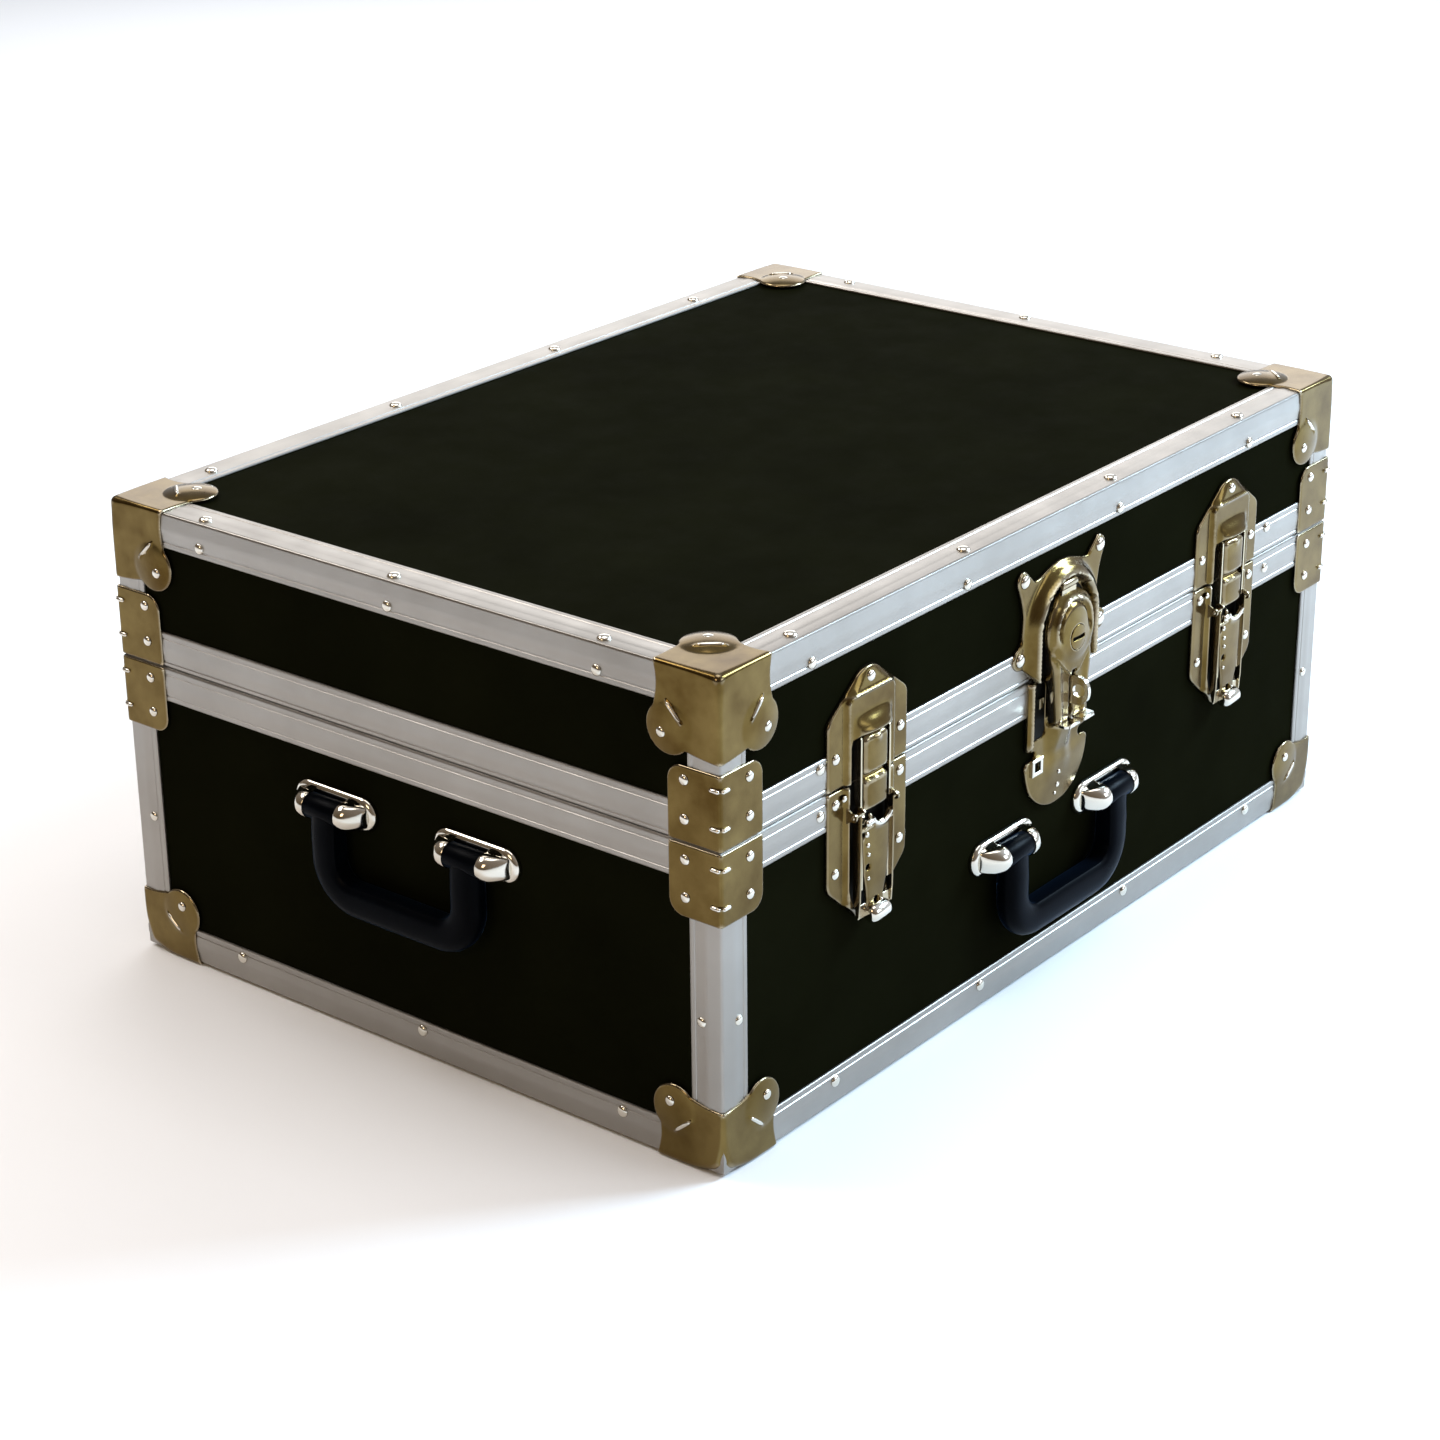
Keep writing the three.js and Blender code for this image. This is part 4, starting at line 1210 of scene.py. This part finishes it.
def grip_loops():
    straight, bend = 32.5, 24.0
    path = []
    for v in np.linspace(0, -straight, 12):
        path.append((-HANDLE_X, v, 0.0))
    for a in np.linspace(0, 90, 18)[1:]:
        t = math.radians(a)
        path.append((-HANDLE_X + bend - bend * math.cos(t), -straight - bend * math.sin(t), a))
    for u in np.linspace(-HANDLE_X + bend, HANDLE_X - bend, 16)[1:-1]:
        path.append((u, -straight - bend, 90.0))
    path += [(-u, v, 180 - a) for u, v, a in reversed(path[: 12 + 17])]
    loops = []
    for u, v, a in path:
        t = math.radians(a)
        nx, ny = -math.cos(t), -math.sin(t)
        belly = 1.13 + 0.05 * smooth(np.array(-v), 30, 54) * (1 - abs(u) / 90)
        slim = 0.96 + 0.1 * float(smooth(np.array(-v), 8, 22))
        loops.append(
            [(u + nx * p * belly, v + ny * p * belly, HANDLE_PIN + q * slim) for p, q in GRIP_SECTION]
        )
    return loops


def handle(place, face, z, out):
    name = f"handle_{place}"
    at = face_matrix(face, 0.0, z, out)
    for label, u in (("a", -HANDLE_X), ("b", HANDLE_X)):
        stadium = arc(u + 23.5, 0, 12, -90, 90, 20) + arc(u - 23.5, 0, 12, 90, 270, 20)

        def dished(x, y):
            """A thick rounded plate, hollowed for the barrel and let down under the arm."""
            hollow = HANDLE_PIN - CAP - 0.4 - np.sqrt(np.clip(8.6**2 - y * y, 0, None))
            middle = 1 - smooth(np.abs(x - u), 16.5, 18.5)
            below = (1 - smooth(np.abs(x - u), 14.5, 17.5)) * (1 - smooth(y, -3, 3))
            tall = 3.4 + middle * np.minimum(hollow - 3.4, 0)
            return tall * (1 - below) + np.minimum(tall, 0.4) * below

        part = skirted(pressed(stadium, dished, step=1.3, roll=3.9), -0.25)
        node = f"{name}_bracket_{label}"
        shelled(build(f"look_{node}", part, NICKEL, "base", at, (node,), 40))
        cups = merged(ear_cup(u, -1), ear_cup(u, 1))
        outward(build(f"{node}_ears", cups, NICKEL, "base", at, sharp=38))
    bars = [loft(grip_loops())]
    for u in (-HANDLE_X, HANDLE_X):
        bars.append(rod_part(8.3, u - 16.4, u + 16.4, 0, HANDLE_PIN, 40, 1.6))
    node = f"{name}_grip"
    outward(build(f"look_{node}", merged(*bars), GRIP, name, at, (node,), 30))
    pins = [rod_part(2.4, u - 17.4, u + 17.4, 0, HANDLE_PIN, 20) for u in (-HANDLE_X, HANDLE_X)]
    outward(build(f"{name}_pins", merged(*pins), NICKEL, name, at, sharp=38))


# ---- Hinges ----
def hinge(side, x):
    at = face_matrix("back", -x, SEAM, PLATE_OUT)
    spans = {"base": (-1, ((-30, -10.3), (10.3, 30))), "lid": (1, ((-10, 10),))}
    for body, (way, knuckles) in spans.items():
        edge = [(30, 22), (30, 5)]
        if body == "base":
            edge += [(30, 0.6), (10.4, 0.6), (10.4, 5)]
        else:
            edge += [(10, 5), (10, 0.6)]
        loop = [(a, b * way) for a, b in edge]
        loop = tidy_loop(loop + [(-a, b) for a, b in reversed(loop)])
        part = skirted(pressed(loop, lambda u, v: 0.8 * np.ones_like(u), roll=0.9), -0.1)
        node = f"hinge_{side}_{body}_leaf"
        shelled(build(f"look_{node}", part, PLATED, body, at, (node,), 40), 0.5)
        rods = merged(*[rod_part(4.0, *span, 0, 5.2, 28, 0.7) for span in knuckles])
        outward(build(f"hinge_{side}_{body}_knuckles", rods, PLATED, body, at, sharp=35))
        row = rivets_lid if body == "lid" else rivets_base
        for u in (-21, 0, 21):
            row.append(rivet_at(at @ Matrix.Translation((u, 14 * way, 2.0)), 0.8))


# ---- Lining ----
def lining(name, body, low, high, open_up):
    """A thin liner with round corners: a floor and four walls."""
    x, y = HX - 9.6, HY - 9.6

    def loop(inset, z):
        flat = rect_loop((-x + inset, x - inset), (-y + inset, y - inset), 7.0 - 0.5 * inset)
        return [(a, b + SHIFT, z) for a, b in flat]

    floor_z, rim_z = (low, high) if open_up else (high, low)
    way = 1 if open_up else -1
    outside = [(3.0, 0), (0.8, 0.3), (0, 2.5)]
    rim = [(0, -0.5), (0.3, 0), (0.9, 0), (1.2, -0.5)]
    inner = [(1.2, 5.5), (2.0, 2.6), (5.0, 1.2)]
    rows = ((outside, floor_z), (rim, rim_z), (inner, floor_z))
    loops = [loop(inset, z + rise * way) for row, z in rows for inset, rise in row]
    outward(build(name, loft(loops), LINING, body, sharp=60))


rivets_lid, rivets_base = [], []
trims()
corner_hardware(rivets_lid, rivets_base)
trim_rivets(rivets_lid, rivets_base)
latch("left", -LATCH_X)
latch("right", LATCH_X)
lock()
handle("front", "front", 110, HY - 3)
handle("left", "left", 160, HX - 3)
handle("right", "right", 160, HX - 3)
hinge("left", -HINGE_X)
hinge("right", HINGE_X)
lining("base_lining", "base", 9.6, 206, True)
lining("lid_lining", "lid", 228, 318.4, False)
build("rivets_lid", merged(*rivets_lid), NICKEL, "lid", sharp=60)
build("rivets_base", merged(*rivets_base), NICKEL, "base", sharp=60)


# ---- Carried-over CAD nodes ----
LOOKS = {slot: mat for mat, slot in (PANEL, ALUMINIUM, PLATED, NICKEL, BRASS_PIN, GRIP)}
for entry in frame["record"]["subparts"]:
    materials = frame["nodes"][entry["node"]].data.materials
    materials.clear()
    materials.append(LOOKS[entry["material_slot"]])


# ---- Floor, lights and camera ----
def floor():
    mesh = bpy.data.meshes.new("floor")
    bm = bmesh.new()
    bmesh.ops.create_grid(bm, x_segments=1, y_segments=1, size=12)
    bm.to_mesh(mesh)
    bm.free()
    obj = bpy.data.objects.new("floor", mesh)
    bpy.context.scene.collection.objects.link(obj)
    obj.location.z = -0.0002
    mat, _, shader = new_material("pale_floor")
    shader.inputs["Base Color"].default_value = (0.86, 0.86, 0.87, 1)
    shader.inputs["Roughness"].default_value = 0.7
    mesh.materials.append(mat)


LOOK_AT = Vector((0, 0, 0.15))


def area(name, location, size, power, color):
    data = bpy.data.lights.new(name, "AREA")
    data.shape = "RECTANGLE"
    data.size, data.size_y = size
    data.energy = power
    data.color = color
    obj = bpy.data.objects.new(name, data)
    obj.location = location
    obj.rotation_mode = "QUATERNION"
    obj.rotation_quaternion = (LOOK_AT - Vector(location)).to_track_quat("-Z", "Y")
    bpy.context.scene.collection.objects.link(obj)


def world():
    """A grey room: bright and cool on the right, warm and dim on the left."""
    data = bpy.data.worlds.new("studio")
    data.use_nodes = True
    tree = data.node_tree
    background = tree.nodes["Background"]
    dot = add_node(
        tree,
        "VectorMath",
        {1: Vector((0.93, -0.2, 0.3)).normalized()},
        {0: add_node(tree, "TexCoord").outputs["Generated"]},
        operation="DOT_PRODUCT",
    )
    across = remap(tree, dot.outputs["Value"], (-0.9, 1.0))
    warm, middle, cool = (0.17, 0.12, 0.07), (0.36, 0.31, 0.27), (1.0, 1.06, 1.15)
    color = ramp(tree, across, (0.0, warm), (0.5, middle), (1.0, cool))
    tree.links.new(color, background.inputs["Color"])
    background.inputs["Strength"].default_value = 0.75
    bpy.context.scene.world = data


def lights():
    area("key", (2.5, -1.7, 2.1), (1.5, 1.1), 205, (0.57, 0.79, 1.0))
    area("front", (0.9, -3.2, 1.5), (1.8, 1.2), 24, (0.8, 0.9, 1.0))
    area("rear", (-0.7, 1.9, 2.6), (1.9, 0.8), 42, (1.0, 0.96, 0.93))
    area("left", (-3.0, -0.2, 1.6), (1.0, 1.0), 14, (1.0, 0.76, 0.48))
    area("back_right", (2.5, 2.0, 1.45), (2.6, 1.6), 24, (1.0, 0.97, 0.94))
    area("top", (0.0, 0.0, 3.4), (2.4, 2.4), 46, (1.0, 0.98, 0.97))


def camera():
    azimuth, elevation, roll = map(math.radians, (-51.29, 23.37, -0.58))
    back = Vector(
        (
            math.sin(azimuth) * math.cos(elevation),
            -math.cos(azimuth) * math.cos(elevation),
            math.sin(elevation),
        )
    )
    right = (-back).cross(Vector((0, 0, 1))).normalized()
    up = right.cross(-back)
    across = right * math.cos(roll) + up * math.sin(roll)
    upright = up * math.cos(roll) - right * math.sin(roll)
    data = bpy.data.cameras.new("camera")
    data.lens = 80.98
    data.sensor_width = 36
    obj = bpy.data.objects.new("camera", data)
    place = Matrix((across, upright, back)).transposed().to_4x4()
    place.translation = (-1.6649, -1.3041 + SHIFT * MM, 1.0272)
    obj.matrix_world = place
    bpy.context.scene.collection.objects.link(obj)
    bpy.context.scene.camera = obj


floor()
world()
lights()
camera()
bpy.context.scene.view_settings.view_transform = "Standard"
